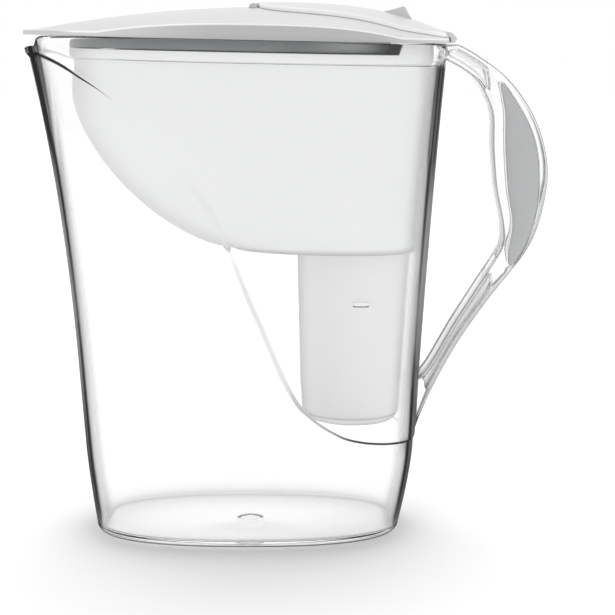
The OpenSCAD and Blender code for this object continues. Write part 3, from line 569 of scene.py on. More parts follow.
# %% Curves through points
def bend_curve(p, n, closed=False):
    """A smooth curve through the points p with n steps between neighbours, by
    the Catmull-Rom cubic."""
    p = np.asarray(p, float)
    q = np.vstack([p[-1], p, p[0], p[1]] if closed else [p[0], p, p[-1]])
    a, b, c, d = (v[:, None, :] for v in (q[:-3], q[1:-2], q[2:-1], q[3:]))
    out = cubic(a, b, c, d, span(0, 1, n, ends=False)[None, :, None]).reshape(-1, 2)
    return out if closed else np.vstack([out, p[-1]])

def offset(loop, d):
    """A closed outline moved to its right-hand side by d, along the normal at each point."""
    t = np.roll(loop, -1, 0) - np.roll(loop, 1, 0)
    n = np.stack([t[:, 1], -t[:, 0]], 1) / np.maximum(np.linalg.norm(t, axis=1, keepdims=True), 1e-9)
    return loop + d * n

# %% Outlines of the handle
HANDLE_W, REACH, FOOT_Z, SINK, RAIL, WEB = 22.0, 52.4, 48.0, 1.2, 2.6, 4.0
RIM_END, FOOT_X = float(jug_back(RIM_H)), float(jug_back(FOOT_Z))
HANDLE_L = RIM_H - FOOT_Z
N_CURVE = 10

def hand(out, drop):
    """A point out from the rim's end, in reaches, and down from it, in handle lengths."""
    return RIM_END + out * REACH, RIM_H - drop * HANDLE_L

def arm(out, rise):
    """A point out from the handle's foot, in reaches, and up from it, in handle lengths."""
    return FOOT_X + out * REACH, FOOT_Z + rise * HANDLE_L

def sunk(point):
    """The point moved into the jug's wall."""
    return point[0] - SINK, point[1]

outer_curve = bend_curve([hand(0.115, 0.0115), hand(0.305, 0.038), hand(0.603, 0.0945), hand(0.859, 0.1815),
    hand(0.996, 0.281), hand(1, 0.3755), hand(0.847, 0.504), arm(0.725, 0.3545), arm(0.439, 0.2505),
    arm(0.202, 0.1425), arm(0.057, 0.0615), sunk(arm(0, 0))], N_CURVE)
inner_curve = bend_curve([sunk(arm(0.035, 0.151)), arm(0.143, 0.191), arm(0.382, 0.295), arm(0.63, 0.393),
    arm(0.851, 0.484), hand(0.576, 0.4565), hand(0.504, 0.364), hand(0.466, 0.2645), hand(0.45, 0.177),
    hand(0.317, 0.106), hand(0.153, 0.071), sunk(hand(0, 0.0475))], N_CURVE)
top_start = [sunk(hand(0, 0.014)), hand(0.03, 0.0125), hand(0.06, 0.0115)]
loop_edge = np.vstack([top_start, outer_curve, inner_curve])
leaf = bend_curve([hand(0.534, 0.104), hand(0.58, 0.18), hand(0.588, 0.265), hand(0.622, 0.3685),
    hand(0.672, 0.4535), hand(0.63, 0.529), hand(0.668, 0.555), hand(0.809, 0.501), hand(0.912, 0.411),
    hand(0.924, 0.312), hand(0.859, 0.2315), hand(0.714, 0.1605)], N_CURVE, closed=True)[::-1]

def rail_inside(curve, i, k):
    """Points i to k of an edge, moved in by one rail."""
    t = curve[i + 1:k + 2] - curve[i - 1:k]
    n = np.stack([t[:, 1], -t[:, 0]], 1) / np.linalg.norm(t, axis=1, keepdims=True)
    return curve[i:k + 1] + RAIL * n

def rounded_ends(high, low, bulge):
    """Joins two rail lines into one outline whose two ends bulge outward a little."""
    def cap(p, q):
        d = q - p
        n = np.array([d[1], -d[0]]) / np.linalg.norm(d)
        t = span(0, 1, 7)[1:-1, None]
        return p + d * t - n * bulge * np.sin(t * math.pi)
    return np.vstack([high, cap(high[-1], low[0]), low, cap(low[-1], high[0])])

hollow_start = np.array([hand(0.03, 0.0125)]) - [0, RAIL]
high_rail = np.vstack([hollow_start, rail_inside(outer_curve, 1, 14)])
high_hollow = rounded_ends(high_rail, rail_inside(inner_curve, 86, 108), 0.7)
low_hollow = rounded_ends(rail_inside(outer_curve, 70, 92), rail_inside(inner_curve, 8, 34), 1.5)
print("handle outline", len(loop_edge), "points; hollows", len(high_hollow), len(leaf), len(low_hollow))

# %% Faces and edges of a plate
def at_depth(p, y):
    """Points of an outline in x and z, put at depth y."""
    return np.stack([p[:, 0], np.full(len(p), y), p[:, 1]], 1)

def fill(outline, holes, y, toward):
    """Triangles of the flat region inside the outline and outside the holes, at
    depth y, facing toward -1 or +1. Seen from the front (-y), with x to the
    right and z up, a counter-clockwise triangle faces the front."""
    loops = [outline, *holes]
    tris = np.array(tessellate_polygon([[(float(x), float(z), 0.0) for x, z in loop] for loop in loops]))
    p = np.vstack(loops)
    area = np.cross(p[tris[:, 1]] - p[tris[:, 0]], p[tris[:, 2]] - p[tris[:, 0]])
    real = np.abs(area) > 1e-9
    tris, area = tris[real], area[real]
    wrong = (area > 0) != (toward < 0)
    tris[wrong] = tris[wrong][:, ::-1]
    return at_depth(p, y), tris.tolist()

def band(loops, ys, outward):
    """Quads between successive outlines, each at its own depth."""
    points = np.stack([at_depth(loop, y) for loop, y in zip(loops, ys)])
    faces = grid_faces(*points.shape[:2])
    return points.reshape(-1, 3), (faces if outward else faces[:, ::-1]).tolist()

def quarter(size, n):
    """n points along a quarter circle: how far each lies inward, and how far short of the end."""
    turns = span(0, QUARTER, n)
    return [size * (1 - math.cos(k)) for k in turns], [size * (1 - math.sin(k)) for k in turns]

def rim_band(outline, y0, y1, size, n, between=()):
    """A plate's rim from y0 to y1 with rounded edges, and straight loops between them."""
    inward, short = quarter(size, n)
    insets = [*inward[::-1], *[0.0 for _ in between], *inward]
    ys = [*[y0 + d for d in short[::-1]], *between, *[y1 - d for d in short]]
    return band([offset(outline, d) for d in insets], ys, True)

# %% Handle surface
HANDLE_EDGE, EDGE_STEPS = 1.2, 7
FAR_LINE = 7.0           # width of the dark line along the lower arm's far edge
MOUTH, HOLLOW_FOOT = 0.6, 1.0
# (height, edge mark) on the outer curve, and the painted shade of each loop of a hollow's wall
OUTER_EDGE = (60, 0.55), (120, 0.5), (150, 0.4), (190, 0.45), (215, 0.75)
HOLLOW_DARK = np.array([0.0, 0.12, 0.3, 0.24, 0.15, 0.12, 0.2, 0.3, 0.2, 0.1])

def rim_marks():
    """The dark and edge marks of the rim, a row for each of its loops. Both
    curves are drawn darker on the lower arm than beside the grip."""
    z = loop_edge[:, 1]
    turns = span(0, QUARTER, EDGE_STEPS)
    inner_side = np.arange(len(loop_edge)) >= len(top_start) + len(outer_curve)
    edge = np.where(inner_side, mix(0.95, 0.22, smooth((z - 105) / 25)), along(z, *OUTER_EDGE))
    # across its width the lower arm's upper side is clear, and only its edges are dark
    clear = np.where(inner_side & (z < 146), 0.15, 1.0)[None, :]
    near = mix(clear, 1.0, np.array([smooth(k / QUARTER - 0.2) for k in turns[::-1]])[:, None])
    across = np.vstack([near, clear, np.ones((EDGE_STEPS, len(z)))])
    line = [0.6 * float(bump_at(k / QUARTER, 0.45, 0.5)) for k in turns]
    dark = np.array([*line[::-1], 0.0, *line])[:, None] * np.ones(len(z))
    lower_arm = inner_side * smooth((152 - z) / 14) * smooth((z - 52) / 6)
    dark[EDGE_STEPS + 1:EDGE_STEPS + 4] += 0.92 * lower_arm
    return np.minimum(dark, 0.97), edge * across

def handle_shape():
    """The plate's rim as bands over rounded edges, its two pierced faces, and
    in each hollow a wall that runs down to the web, with the dark and edge
    marks of every point."""
    half = HANDLE_W / 2
    parts, darks, edges = [], [], []
    def add(shape, dark, edge):
        parts.append(shape)
        darks.append(np.broadcast_to(dark, len(shape[0])))
        edges.append(np.broadcast_to(edge, len(shape[0])))
    dark, edge = rim_marks()
    # the loop between the rounded edges keeps the line along the far one narrow
    rim = rim_band(loop_edge, -half, half, HANDLE_EDGE, EDGE_STEPS, [half - HANDLE_EDGE - FAR_LINE])
    add(rim, dark.ravel(), edge.ravel())
    mouth_in, mouth_short = quarter(MOUTH, 5)
    foot_in, foot_short = quarter(HOLLOW_FOOT, 5)
    hollows = (high_hollow, 0.08, 0.45), (leaf, 0.3, 1.0), (low_hollow, 0.2, 0.8)
    for side in (-1, 1):
        face, web = side * half, side * WEB / 2
        holes = [offset(hollow, -MOUTH) for hollow, _, _ in hollows]
        add(fill(offset(loop_edge, HANDLE_EDGE), holes, face, side), 0.03, 1.0)
        for hollow, edge, level in hollows:
            loops = [offset(hollow, d) for d in [-d for d in mouth_short] + foot_in]
            ys = [face - side * d for d in mouth_in] + [side * (WEB / 2 + d) for d in foot_short]
            add(band(loops, ys, side > 0), np.repeat(level * HOLLOW_DARK, len(hollow)), edge)
            add(fill(offset(hollow, HOLLOW_FOOT), [], web, side), 0.1, edge)
    return merge(*parts), np.concatenate(darks), np.concatenate(edges)

def weld(obj, distance=1e-6):
    """Merges points that share a place, so that bands and flat faces become one skin."""
    bm = bmesh.new()
    bm.from_mesh(obj.data)
    bmesh.ops.remove_doubles(bm, verts=bm.verts, dist=distance)
    bmesh.ops.recalc_face_normals(bm, faces=bm.faces)
    bm.to_mesh(obj.data)
    bm.free()
    obj.data.set_sharp_from_angle(angle=math.radians(38))

# %% The handle's piece
(points, faces), dark, edge = handle_shape()
points[:, 0] -= MID_X
marks = {"dark": dark, "edge": edge, "ends": 0 * dark, "passing": 1 + 0 * dark}
handle = make_piece("handle_loop", (points, faces), "jug", ["handle_frame"], 38, marks)
weld(handle)

# %% [markdown]
# ## Grip inserts
# A grey insert fills each side of the handle's leaf-shaped recess. It is made
# from the leaf's own outline: rings move inward from the edge to the leaf's
# middle line while the face rises like a pillow, highest along the middle.

# %% Grips
GRIP_GAP, CROWN = 0.15, 1.4
GRIP_FOOT = WEB / 2 + 0.05
LEAF_TOP, LEAF_LOW = 0.104 * HANDLE_L, 0.555 * HANDLE_L
# (share of the way to the middle line, rise): below 0 in mm, above it as a share of the crown
GRIP_FACE = ((0.0, -0.9), (0.008, -0.45), (0.03, -0.15), (0.07, 0.0), (0.15, 0.22), (0.3, 0.55), (0.5, 0.82),
    (0.75, 0.97), (1.0, 1.0))

def leaf_middle(outline):
    """For each outline point the point on the leaf's middle line at the same
    height: the mean of the outer and the inner side's x there."""
    z = outline[:, 1]
    top, low = z.argmax(), z.argmin()
    order = np.roll(outline, -top, 0)
    cut = (low - top) % len(outline)
    one, two = order[:cut + 1], np.vstack([order[cut:], order[:1]])[::-1]
    levels = np.clip(z, z.min() + 6, z.max() - 6)
    a = np.interp(-levels, -one[:, 1], one[:, 0])
    b = np.interp(-levels, -two[:, 1], two[:, 0])
    return np.stack([(a + b) / 2, levels], 1)

def grip_shape(side):
    """Rings from the web outward: up the recess's wall, over a small rounded
    corner, then inward to the middle line under a crown that falls to both ends
    by a square law."""
    edge = offset(leaf, GRIP_GAP)
    middle = leaf_middle(edge)
    mid_z, tall = RIM_H - (LEAF_TOP + LEAF_LOW) / 2, LEAF_LOW - LEAF_TOP
    rings = [at_depth(edge, side * GRIP_FOOT)]
    for t, rise in GRIP_FACE:
        p = mix(edge, middle, t)
        crown = CROWN * (1 - (2 * (p[:, 1] - mid_z) / tall) ** 2)
        y = HANDLE_W / 2 + (rise * np.maximum(crown, 0.0) if rise > 0 else rise)
        rings.append(at_depth(p, side * y))
    faces = grid_faces(len(rings), len(leaf))
    faces = faces if side > 0 else faces[:, ::-1]
    back = fill(edge, [], side * GRIP_FOOT, -side)
    return merge((np.vstack(rings), faces.tolist()), back)

grips = []
for side, name in ((-1, "grip_front"), (1, "grip_back")):
    points, faces = grip_shape(side)
    points[:, 0] -= MID_X
    grips.append(make_piece(name + "_pad", (points, faces), "jug", [name]))
    weld(grips[-1], 2e-5)

# %% [markdown]
# ## The rim's frame
# The lid, the funnel and the cartridge all sit square to the rim, which leans
# by about a degree. They are drawn level with z = 0 on the rim's plane and then
# turned and lifted together.

# %% Placing on the rim
def at_rim(p):
    """Points given in the rim's frame, turned by the tilt about the y axis,
    lifted to the rim and shifted to the whole's middle."""
    x, y, z = np.asarray(p, float).T
    c, s = math.cos(TILT), math.sin(TILT)
    return np.stack([x * c + z * s - MID_X, y, RIM_H - x * s + z * c], 1)

LID_OVER, BEAK_CUT, EDGE_H, DOME_H = 0.6, 1.0, 2.6, 17.2
FLAP_SHORT, SKIRT_SHORT = 0.9, 29.5      # how far the flap and the skirt end before the lid and the flap
lid_reach = float(jug_reach(RIM_H)) + STEP + FLARE + LID_OVER - BEAK_CUT
lid_back = float(jug_back(RIM_H)) + STEP + LID_OVER
lid_half = float(jug_depth(RIM_H)) + STEP + LID_OVER
flap_back = lid_back - FLAP_SHORT
skirt_back = flap_back - SKIRT_SHORT
print("lid", round(lid_reach, 2), round(lid_back, 2), round(lid_half, 2))

# %% [markdown]
# ## Funnel
# The funnel is one thin milky shell with a hole for the cartridge. Its plan
# shrinks on the way down by an elliptic law, fast at the end, so its spout
# side sweeps in like a bowl while its handle side stays steep. The flange on
# top rests on the jug's ledge, and rises at the handle end as a finger tab.

# %% Sizes of the funnel
FUNNEL_T, FLANGE_GAP, SEAT_GAP, FLANGE_H, FLANGE_BACK_GAP = 1.8, 0.4, 0.3, 5.0, 3.8
FUNNEL_DEPTH, FUNNEL_BEND, BEND_P, SPOUT_GAP, WALL_GAP = 105.6, 29.0, 1.55, 1.4, 3.2
FLOOR_EDGE, FLOOR_HALF, HOUSING_X = -8.0, 40.0, 58.0
HOUSING_D, HOUSING_END_D, HOUSING_L, HOUSING_T = 60.4, 53.0, 93.0, 1.5
LIP_OUT, LIP_ROOM = 2.05, 0.6            # the housing's lip past its mouth, and the floor past the lip
FUNNEL_Q = 1.6
collar_level = RIM_H - LEDGE
flange_reach = float(jug_reach(RIM_H)) - SPOUT_ROOM
flange_back = float(jug_back(collar_level)) - COLLAR - FLANGE_BACK_GAP
flange_half = float(jug_depth(collar_level)) - COLLAR - FLANGE_GAP
flange_low = LEDGE - SEAT_GAP
flange_top = flange_low - FLANGE_H
funnel_low = FUNNEL_DEPTH + FUNNEL_T
funnel_reach = flange_reach - SPOUT_GAP
funnel_back = float(jug_back(collar_level)) - WALL - WALL_GAP
funnel_half = float(jug_depth(collar_level)) - WALL - WALL_GAP
mouth_r = HOUSING_D / 2 - HOUSING_T
floor_back = HOUSING_X + (mouth_r + LIP_OUT) + LIP_ROOM + FUNNEL_T
print("funnel", round(funnel_reach, 2), round(funnel_back, 2), round(funnel_half, 2), "deep", FUNNEL_DEPTH)

# %% Funnel surface
def funnel_plan(a, v, inset):
    """The funnel's plan at a share v of the way down: its reach follows a
    superellipse of power 1.55, its half depth an ellipse, its back a straight line."""
    reach = mix(-FLOOR_EDGE, funnel_reach, max(0.0, 1 - v ** BEND_P) ** (1 / BEND_P))
    back = mix(funnel_back, floor_back, v)
    half = mix(FLOOR_HALF, funnel_half, math.sqrt(max(0.0, 1 - v * v)))
    mid = (floor_back + FLOOR_EDGE) / 2 * v ** 3
    x, y = plan(a, reach + mid - inset, back - mid - inset, half - inset, mix(FUNNEL_Q, BACK_Q, v))
    return x + mid, y

def flange_plan(inset):
    """The flange's outline, moved in by the inset."""
    return plan(angle, flange_reach - inset, flange_back - inset, flange_half - inset, FUNNEL_Q)

def rim_top(x):
    """Height of the flange's top, which rises behind the skirt as the finger tab."""
    return mix(-flange_top, -0.9, smooth((x - (skirt_back + 1.8)) / 2))

def funnel_rings():
    """Rings from the cartridge's hole out under the funnel's floor, up its
    outside, over the flange and down the inside, with a level of painted light
    each: the outside carries painted shade, up to 28 percent darker, close to
    the floor's edge."""
    a, rows, painted_lights = angle, [], []
    def add(x, y, z, tone=1.0):
        rows.append(ring(x, y, z))
        painted_lights.append(np.full(COLS, tone))
    def hole(r, z):
        add(HOUSING_X + r * np.cos(a), r * np.sin(a), z)
    steps = 34
    bend = [math.sin(QUARTER * k / steps) ** (2 / BEND_P) for k in range(steps + 1)]
    # under the floor and up the outside
    for r in (mouth_r, mouth_r + 1.5):
        hole(r, -funnel_low)
    for v in bend[::-1]:
        # painted shade: up to 28 percent darker close to the floor's edge
        tone = 1 - 0.28 * float(smooth((v - 0.95) / 0.035))
        add(*funnel_plan(a, v, 0), -mix(FUNNEL_BEND, funnel_low, v), tone)
    for t in (0.5, 0.97):
        add(*funnel_plan(a, 0, 0), -mix(FUNNEL_BEND, flange_low, t))
    # over the flange
    for inset, z in ((1.0, 0.0), (0.4, 0.0), (0.1, 0.12), (0.0, 0.4)):
        add(*flange_plan(inset), -flange_low + z)
    for inset, drop in ((0.0, 0.6), (0.1, 0.22), (0.45, 0.0)):
        x, y = flange_plan(inset)
        add(x, y, rim_top(x) - drop)
    for inset, drop in ((FUNNEL_T - 0.5, 0.0), (FUNNEL_T - 0.12, 0.15), (FUNNEL_T, 0.6)):
        x, y = funnel_plan(a, 0, inset)
        add(x, y, rim_top(x) - drop)
    # down the inside to the hole
    for t in (0.1, 0.5):
        add(*funnel_plan(a, 0, FUNNEL_T), -mix(flange_low, FUNNEL_BEND, t))
    for v in bend:
        add(*funnel_plan(a, v, FUNNEL_T), -mix(FUNNEL_BEND, FUNNEL_DEPTH, v))
    for more, drop in ((1.5, 0.0), (0.4, 0.0), (0.0, 0.4)):
        hole(mouth_r + more, -FUNNEL_DEPTH - drop)
    return np.array(rows), np.concatenate(painted_lights)

rings, painted_lights = funnel_rings()
points, faces = skin(rings, wrap=True)
shape = (at_rim(points), faces)
funnel = make_piece("funnel_shell", shape, "funnel", ["funnel_hopper"], 35, {"tone": painted_lights})

# %% [markdown]
# ## Vent hood
# High on the housing's front a slot lets air out as the water runs in. A small
# louvre stands over it, open along its lower edge. It is a rounded oblong
# whose rings shrink inward while its face rises from the housing's wall.

# %% Vent hood
VENT_X, VENT_Z, VENT_HALF, VENT_TALL = 3.3, -26.3, 4.3, 1.15
HOOD_ROWS = (1.0, -0.4), (1.0, 0.35), (0.97, 0.6), (0.85, 0.78), (0.6, 0.86), (0.3, 0.9)      # share, lift

def hood_rings():
    """Rings of an oblong, |x/a|^4 + |z/b|^4 = 1, laid on the housing's cone and lifted off it."""
    t = span(0, 2 * math.pi, 64, ends=False)
    c, s = np.cos(t), np.sin(t)
    rows = []
    for share, lift in HOOD_ROWS:
        x = VENT_X + (VENT_HALF - (1 - share)) * share * np.sign(c) * np.abs(c) ** 0.5
        z = VENT_Z + VENT_TALL * share * np.sign(s) * np.abs(s) ** 0.5
        r = mix(HOUSING_D / 2, HOUSING_END_D / 2, -z / HOUSING_L)
        rows.append(np.stack([HOUSING_X + x, -np.sqrt(r * r - x * x) - lift, z - funnel_low], -1))
    return np.array(rows)

rings = hood_rings()
points, faces = skin(rings, pole_in=rings[0].mean(0), pole_out=rings[-1].mean(0))
hood = make_piece("vent_hood", (at_rim(points), faces), "funnel", sharp=50)

# %% [markdown]
# ## Lid
# The lid is a shallow dome over the jug's plan. Along its middle the dome
# falls toward the spout by a square law. Across, it falls from the middle to
# the top of the upright side by another square law, so a crisp line runs where
# the dome meets the side. A hole under the flap is left open for filling, and a
# notch in front of it takes the hinge's barrel between two lugs.

# %% The dome
LID_T, SIDE_ARCH, SIDE_MID, DOME_MID = 1.8, 5.4, 12, 25

def lid_plan(a, inset):
    """The lid's outline, moved in by the inset."""
    return plan(a, lid_reach - inset, lid_back - inset, lid_half - inset, RIM_Q)

def lid_depth(x):
    """Half depth of the lid at x, from the same superellipse."""
    u = np.clip(np.where(x < 0, -x / lid_reach, x / lid_back), 0, 1)
    return lid_half * np.maximum(0, 1 - u ** PLAN_P) ** (1 / np.where(x < 0, RIM_Q, BACK_Q))

def side_h(x):
    """Height of the side: an arch of power 2.6, highest behind the middle."""
    u = (x - SIDE_MID) / np.where(x < SIDE_MID, 86.0, 66.0)
    return EDGE_H + SIDE_ARCH * (1 - np.minimum(1, np.abs(u)) ** 2.6)

def dome_at(x):
    """Height of the dome along its middle: power 2 toward the spout and 2.5
    toward the handle, and never lower than the side."""
    u = (x - DOME_MID) / np.where(x < DOME_MID, 150.0, 85.0)
    power = np.where(x < DOME_MID, 2, 2.5)
    return np.maximum(side_h(x) + 0.3, DOME_H * (1 - np.minimum(1, np.abs(u)) ** power))

def lid_top(x, y):
    """Height of the dome: from its middle line to the side by a square law."""
    d = lid_depth(x)
    v = np.where(d < 0.5, 1.0, np.minimum(1, np.abs(y) / np.maximum(d, 0.5)))
    return mix(dome_at(x), side_h(x), v * v)

# %% The hole for filling
HINGE_X, BARREL_R, BARREL_L, HINGE_GAP, FLAP_T = 3.0, 2.2, 26.0, 0.3, 2.2
STRAP = 5.0              # how far the flap's plate reaches behind its barrel
OPEN_FRONT = HINGE_X + BARREL_R + STRAP + HINGE_GAP
OPEN_BACK, OPEN_HALF, OPEN_P = skirt_back - 1.6 - 2, 38.0, 2.4
NOTCH_X, NOTCH_Y = HINGE_X - BARREL_R - HINGE_GAP, BARREL_L / 2 + HINGE_GAP

def opening():
    """The outline of the hole, one point a column: the farther of the oval and
    the notch along each ray from the oval's middle, with columns moved onto the
    notch's corners."""
    h = (OPEN_BACK - OPEN_FRONT) / 2
    mid = OPEN_FRONT + h
    oval = plan(angle, h, h, OPEN_HALF, OPEN_P, OPEN_P)
    way = np.arctan2(oval[1], oval[0]) % (2 * math.pi)
    oval_x = (1 - (NOTCH_Y / OPEN_HALF) ** OPEN_P) ** (1 / OPEN_P) * h
    corners = [(x, y) for x in (NOTCH_X - mid, -oval_x) for y in (NOTCH_Y, -NOTCH_Y)]
    for cx, cy in corners:
        aim = math.atan2(cy, cx) % (2 * math.pi)
        way[np.abs(way - aim).argmin()] = aim
    c, s = np.cos(way), np.sin(way)
    r_oval = (np.abs(c / h) ** OPEN_P + np.abs(s / OPEN_HALF) ** OPEN_P) ** (-1 / OPEN_P)
    front = np.where(c < -1e-6, (mid - NOTCH_X) / np.maximum(-c, 1e-6), 0)
    r_notch = np.minimum(front, NOTCH_Y / np.maximum(np.abs(s), 1e-6))
    r = np.where(c < 0, np.maximum(r_oval, r_notch), r_oval)
    return mid + r * c, r * s

hole_x, hole_y = opening()
print("hole from", round(float(hole_x.min()), 1), "to", round(float(hole_x.max()), 1))

# %% Lid surface
DOME_SHARES = 0.03, 0.05, 0.08, 0.12, 0.17, 0.23, 0.3, 0.38, 0.46, 0.55, 0.64, 0.73, 0.82, 0.91, 0.98

def lid_rings():
    """Rings from the lid's lower edge up its side, over the dome to the hole,
    and back under the dome, with a level of painted light each. The upright
    side carries painted shade, up to 24 percent darker and a tenth darker
    again along its lower edge, running to 0.93 at the beak; a painted
    highlight, up to 1.55 times brighter, runs along its upper corner and the
    dome's edge; and the underside carries painted shade at 0.8."""
    rows, painted_lights = [], []
    ox = lid_plan(angle, 0)[0]
    side = side_h(ox)
    # painted shade: the upright side up to 24 percent darker between the spout end and the handle end
    shade = 1 - 0.24 * smooth((ox + 75) / 70) * (1 - smooth((ox - 60) / 40))
    beak = smooth((-ox - 84) / 14)
    def keep(x, y, z, tone):
        rows.append(ring(x, y, z))
        painted_lights.append(np.broadcast_to(tone, x.shape))
    def edge(inset, z, tone):
        keep(*lid_plan(angle, inset), z, mix(tone, 0.93, beak))
    def dome(s, lower, inset=0.0, tone=1.0):
        x0, y0 = lid_plan(angle, inset)
        x, y = mix(x0, hole_x, s), mix(y0, hole_y, s)
        keep(x, y, lid_top(x, y) - lower, tone)
    for inset, z in ((0.35, SEAT_GAP), (0.08, SEAT_GAP + 0.1), (0.0, SEAT_GAP + 0.4)):
        edge(inset, z, shade * 0.9)
    for t in (0.5, 1.0):
        edge(0.0, mix(SEAT_GAP + 0.4, side - 0.85, t), shade)
    # painted highlight along the rounded upper corner, and just inside it on the dome
    for inset, lower, tone in ((0.04, 0.55, 1.3), (0.14, 0.24, 1.55), (0.34, 0.05, 1.55)):
        edge(inset, side - lower, tone)
    for s, tone in ((0.014, 1.2), (0.024, 1.0)):
        dome(s, 0.0, 0.0, tone)
    for s in DOME_SHARES:
        dome(s, 0.0)
    for s, lower in ((0.995, 0.12), (1.0, 0.4), (1.0, LID_T)):
        dome(s, lower)
    for s in (0.9, 0.7, 0.5, 0.35, 0.22, 0.12, 0.06):
        dome(s, LID_T, LID_T * (1 - s))
    x, y = lid_plan(angle, LID_T)
    # painted shade on the underside, at 0.8
    keep(x, y, side_h(x) - LID_T * 0.8, 0.8)
    keep(x, y, SEAT_GAP, 0.8)
    return np.array(rows), np.concatenate(painted_lights)

# %% Rods and plates for the hinge
BARREL_SINK = 0.6        # from the flap's top down to the barrel's
LUG_W, PIN_R, PIN_L = 4.6, 1.2, 3.4
hinge_z = float(dome_at(HINGE_X)) + SEAT_GAP + FLAP_T - BARREL_R - BARREL_SINK

def rod_at_hinge(r, y0, y1, e=0.35, n=40):
    """A solid turned about the hinge's axis, with a small quarter circle at
    both ends and a pole in the middle of each."""
    turns = span(0, QUARTER, 4)
    profile = [(0.3 * r, y0)] + [(r - e + e * math.sin(k), y0 + e - e * math.cos(k)) for k in turns]
    profile += [(r - e + e * math.cos(k), y1 - e + e * math.sin(k)) for k in turns] + [(0.3 * r, y1)]
    r, y = np.array(profile, float).T
    t = span(0, 2 * math.pi, n, ends=False)
    y_rows = np.broadcast_to(y[:, None], (len(r), n))
    rows = np.stack([r[:, None] * np.sin(t), y_rows, r[:, None] * np.cos(t)], -1)
    points, faces = skin(rows, pole_in=(0, y[0], 0), pole_out=(0, y[-1], 0))
    return points + [HINGE_X, 0, hinge_z], faces

def upright_plate(outline, y0, y1, edge):
    """An outline in x and z, clockwise seen from the front, carried from y0 to y1 with rounded edges."""
    small = offset(outline, edge)
    return merge(rim_band(outline, y0, y1, edge, 4), fill(small, [], y0, -1), fill(small, [], y1, 1))

def block(x0, x1, z0, z1):
    """A rectangle's outline, clockwise seen from the front, with points along its sides."""
    t = span(0, 1, 4, ends=False)
    x = np.concatenate([x0 + 0 * t, mix(x0, x1, t), x1 + 0 * t, mix(x1, x0, t)])
    z = np.concatenate([mix(z0, z1, t), z1 + 0 * t, mix(z1, z0, t), z0 + 0 * t])
    return np.stack([x, z], 1)

def join(rings_part, painted_lights, *more):
    """The ring surface and the small solids as one shape, the solids at a level of 1, with no painted light
    or shade.
    """
    points, faces = merge(rings_part, *more)
    return (at_rim(points), faces), np.append(painted_lights, np.ones(len(points) - len(painted_lights)))

# %% The lid with its lugs
rings, painted_lights = lid_rings()
lugs = []
for y0 in (-NOTCH_Y - LUG_W, NOTCH_Y):
    foot = block(HINGE_X - BARREL_R, HINGE_X + BARREL_R, hinge_z - BARREL_R, hinge_z)
    lugs += [rod_at_hinge(BARREL_R, y0, y0 + LUG_W), upright_plate(foot, y0, y0 + LUG_W, 0.2)]
shape, painted_lights = join(skin(rings, wrap=True), painted_lights, *lugs)
lid = make_piece("lid_dome", shape, "lid", ["lid_shell"], 30, {"tone": painted_lights})
weld(lid)

# %% [markdown]
# ## Skirt
# Under the lid a band of plastic plugs into the funnel's mouth. Its dark grey
# is painted shade for the shadow under the lid. It is a plain oval wall that
# follows the underside of the dome at its top.

# %% Skirt surface
SKIRT_T = 1.6
skirt_reach, skirt_half, skirt_low = flange_reach - SEAT_GAP, flange_half - 2.0, flange_top - SEAT_GAP

def skirt_rings():
    """Rings from the skirt's lower edge up its outside to the lid and down its
    inside, with a level of painted light each: 1.35 times brighter at the lower
    edge, 0.95 near the top, and up to 3.3 times brighter toward the handle end,
    where it lies in shade under the lid."""
    rows, painted_lights = [], []
    def at(inset):
        return plan(angle, skirt_reach - inset, skirt_back - inset, skirt_half - inset, FUNNEL_Q)
    def add(x, y, z, tone=1.0):
        rows.append(ring(x, y, z))
        # painted light: up to 3.3 times brighter toward the handle end
        painted_lights.append(tone * (1 + 2.3 * smooth((x - skirt_back + 50) / 46)))
    for inset, z in ((0.5, 0.0), (0.12, 0.12), (0.0, 0.5)):
        add(*at(inset), -skirt_low + z, 1.35)
    x, y = at(0)
    for t, tone in ((0.12, 1.25), (0.33, 1.02), (0.67, 0.95), (1.0, 0.95)):
        add(x, y, mix(-skirt_low + 0.5, lid_top(x, y) - LID_T + 0.3, t), tone)
    x, y = at(SKIRT_T)
    add(x, y, lid_top(x, y) - LID_T + 0.3)
    for inset, z in ((SKIRT_T, 0.5), (SKIRT_T - 0.12, 0.12), (SKIRT_T - 0.5, 0.0)):
        add(*at(inset), -skirt_low + z)
    return np.array(rows), np.concatenate(painted_lights)

rings, painted_lights = skirt_rings()
points, faces = skin(rings, wrap=True)
shape = (at_rim(points), faces)
skirt = make_piece("lid_plug", shape, "lid", ["lid_skirt"], 35, {"tone": painted_lights})

# %% [markdown]
# ## Flap
# The flap covers the rear of the lid. It follows the dome at a small distance,
# with an even thickness and a rounded edge. Its barrel and pins turn between
# the lid's lugs, and a thumb tab with an upright rear face stands near its end.

# %% Flap surface
FLAP_HALF = 43.0
flap_front = HINGE_X + BARREL_R + HINGE_GAP
half_l = (flap_back - flap_front) / 2
mid_x = flap_front + half_l
# painted highlight on the flap's rounded edge, from its lower rings, at 1.5, up over the corner
EDGE_HIGHLIGHTS = 1.45, 1.45, 1.4, 1.3, 1.15, 1.05, 1.0

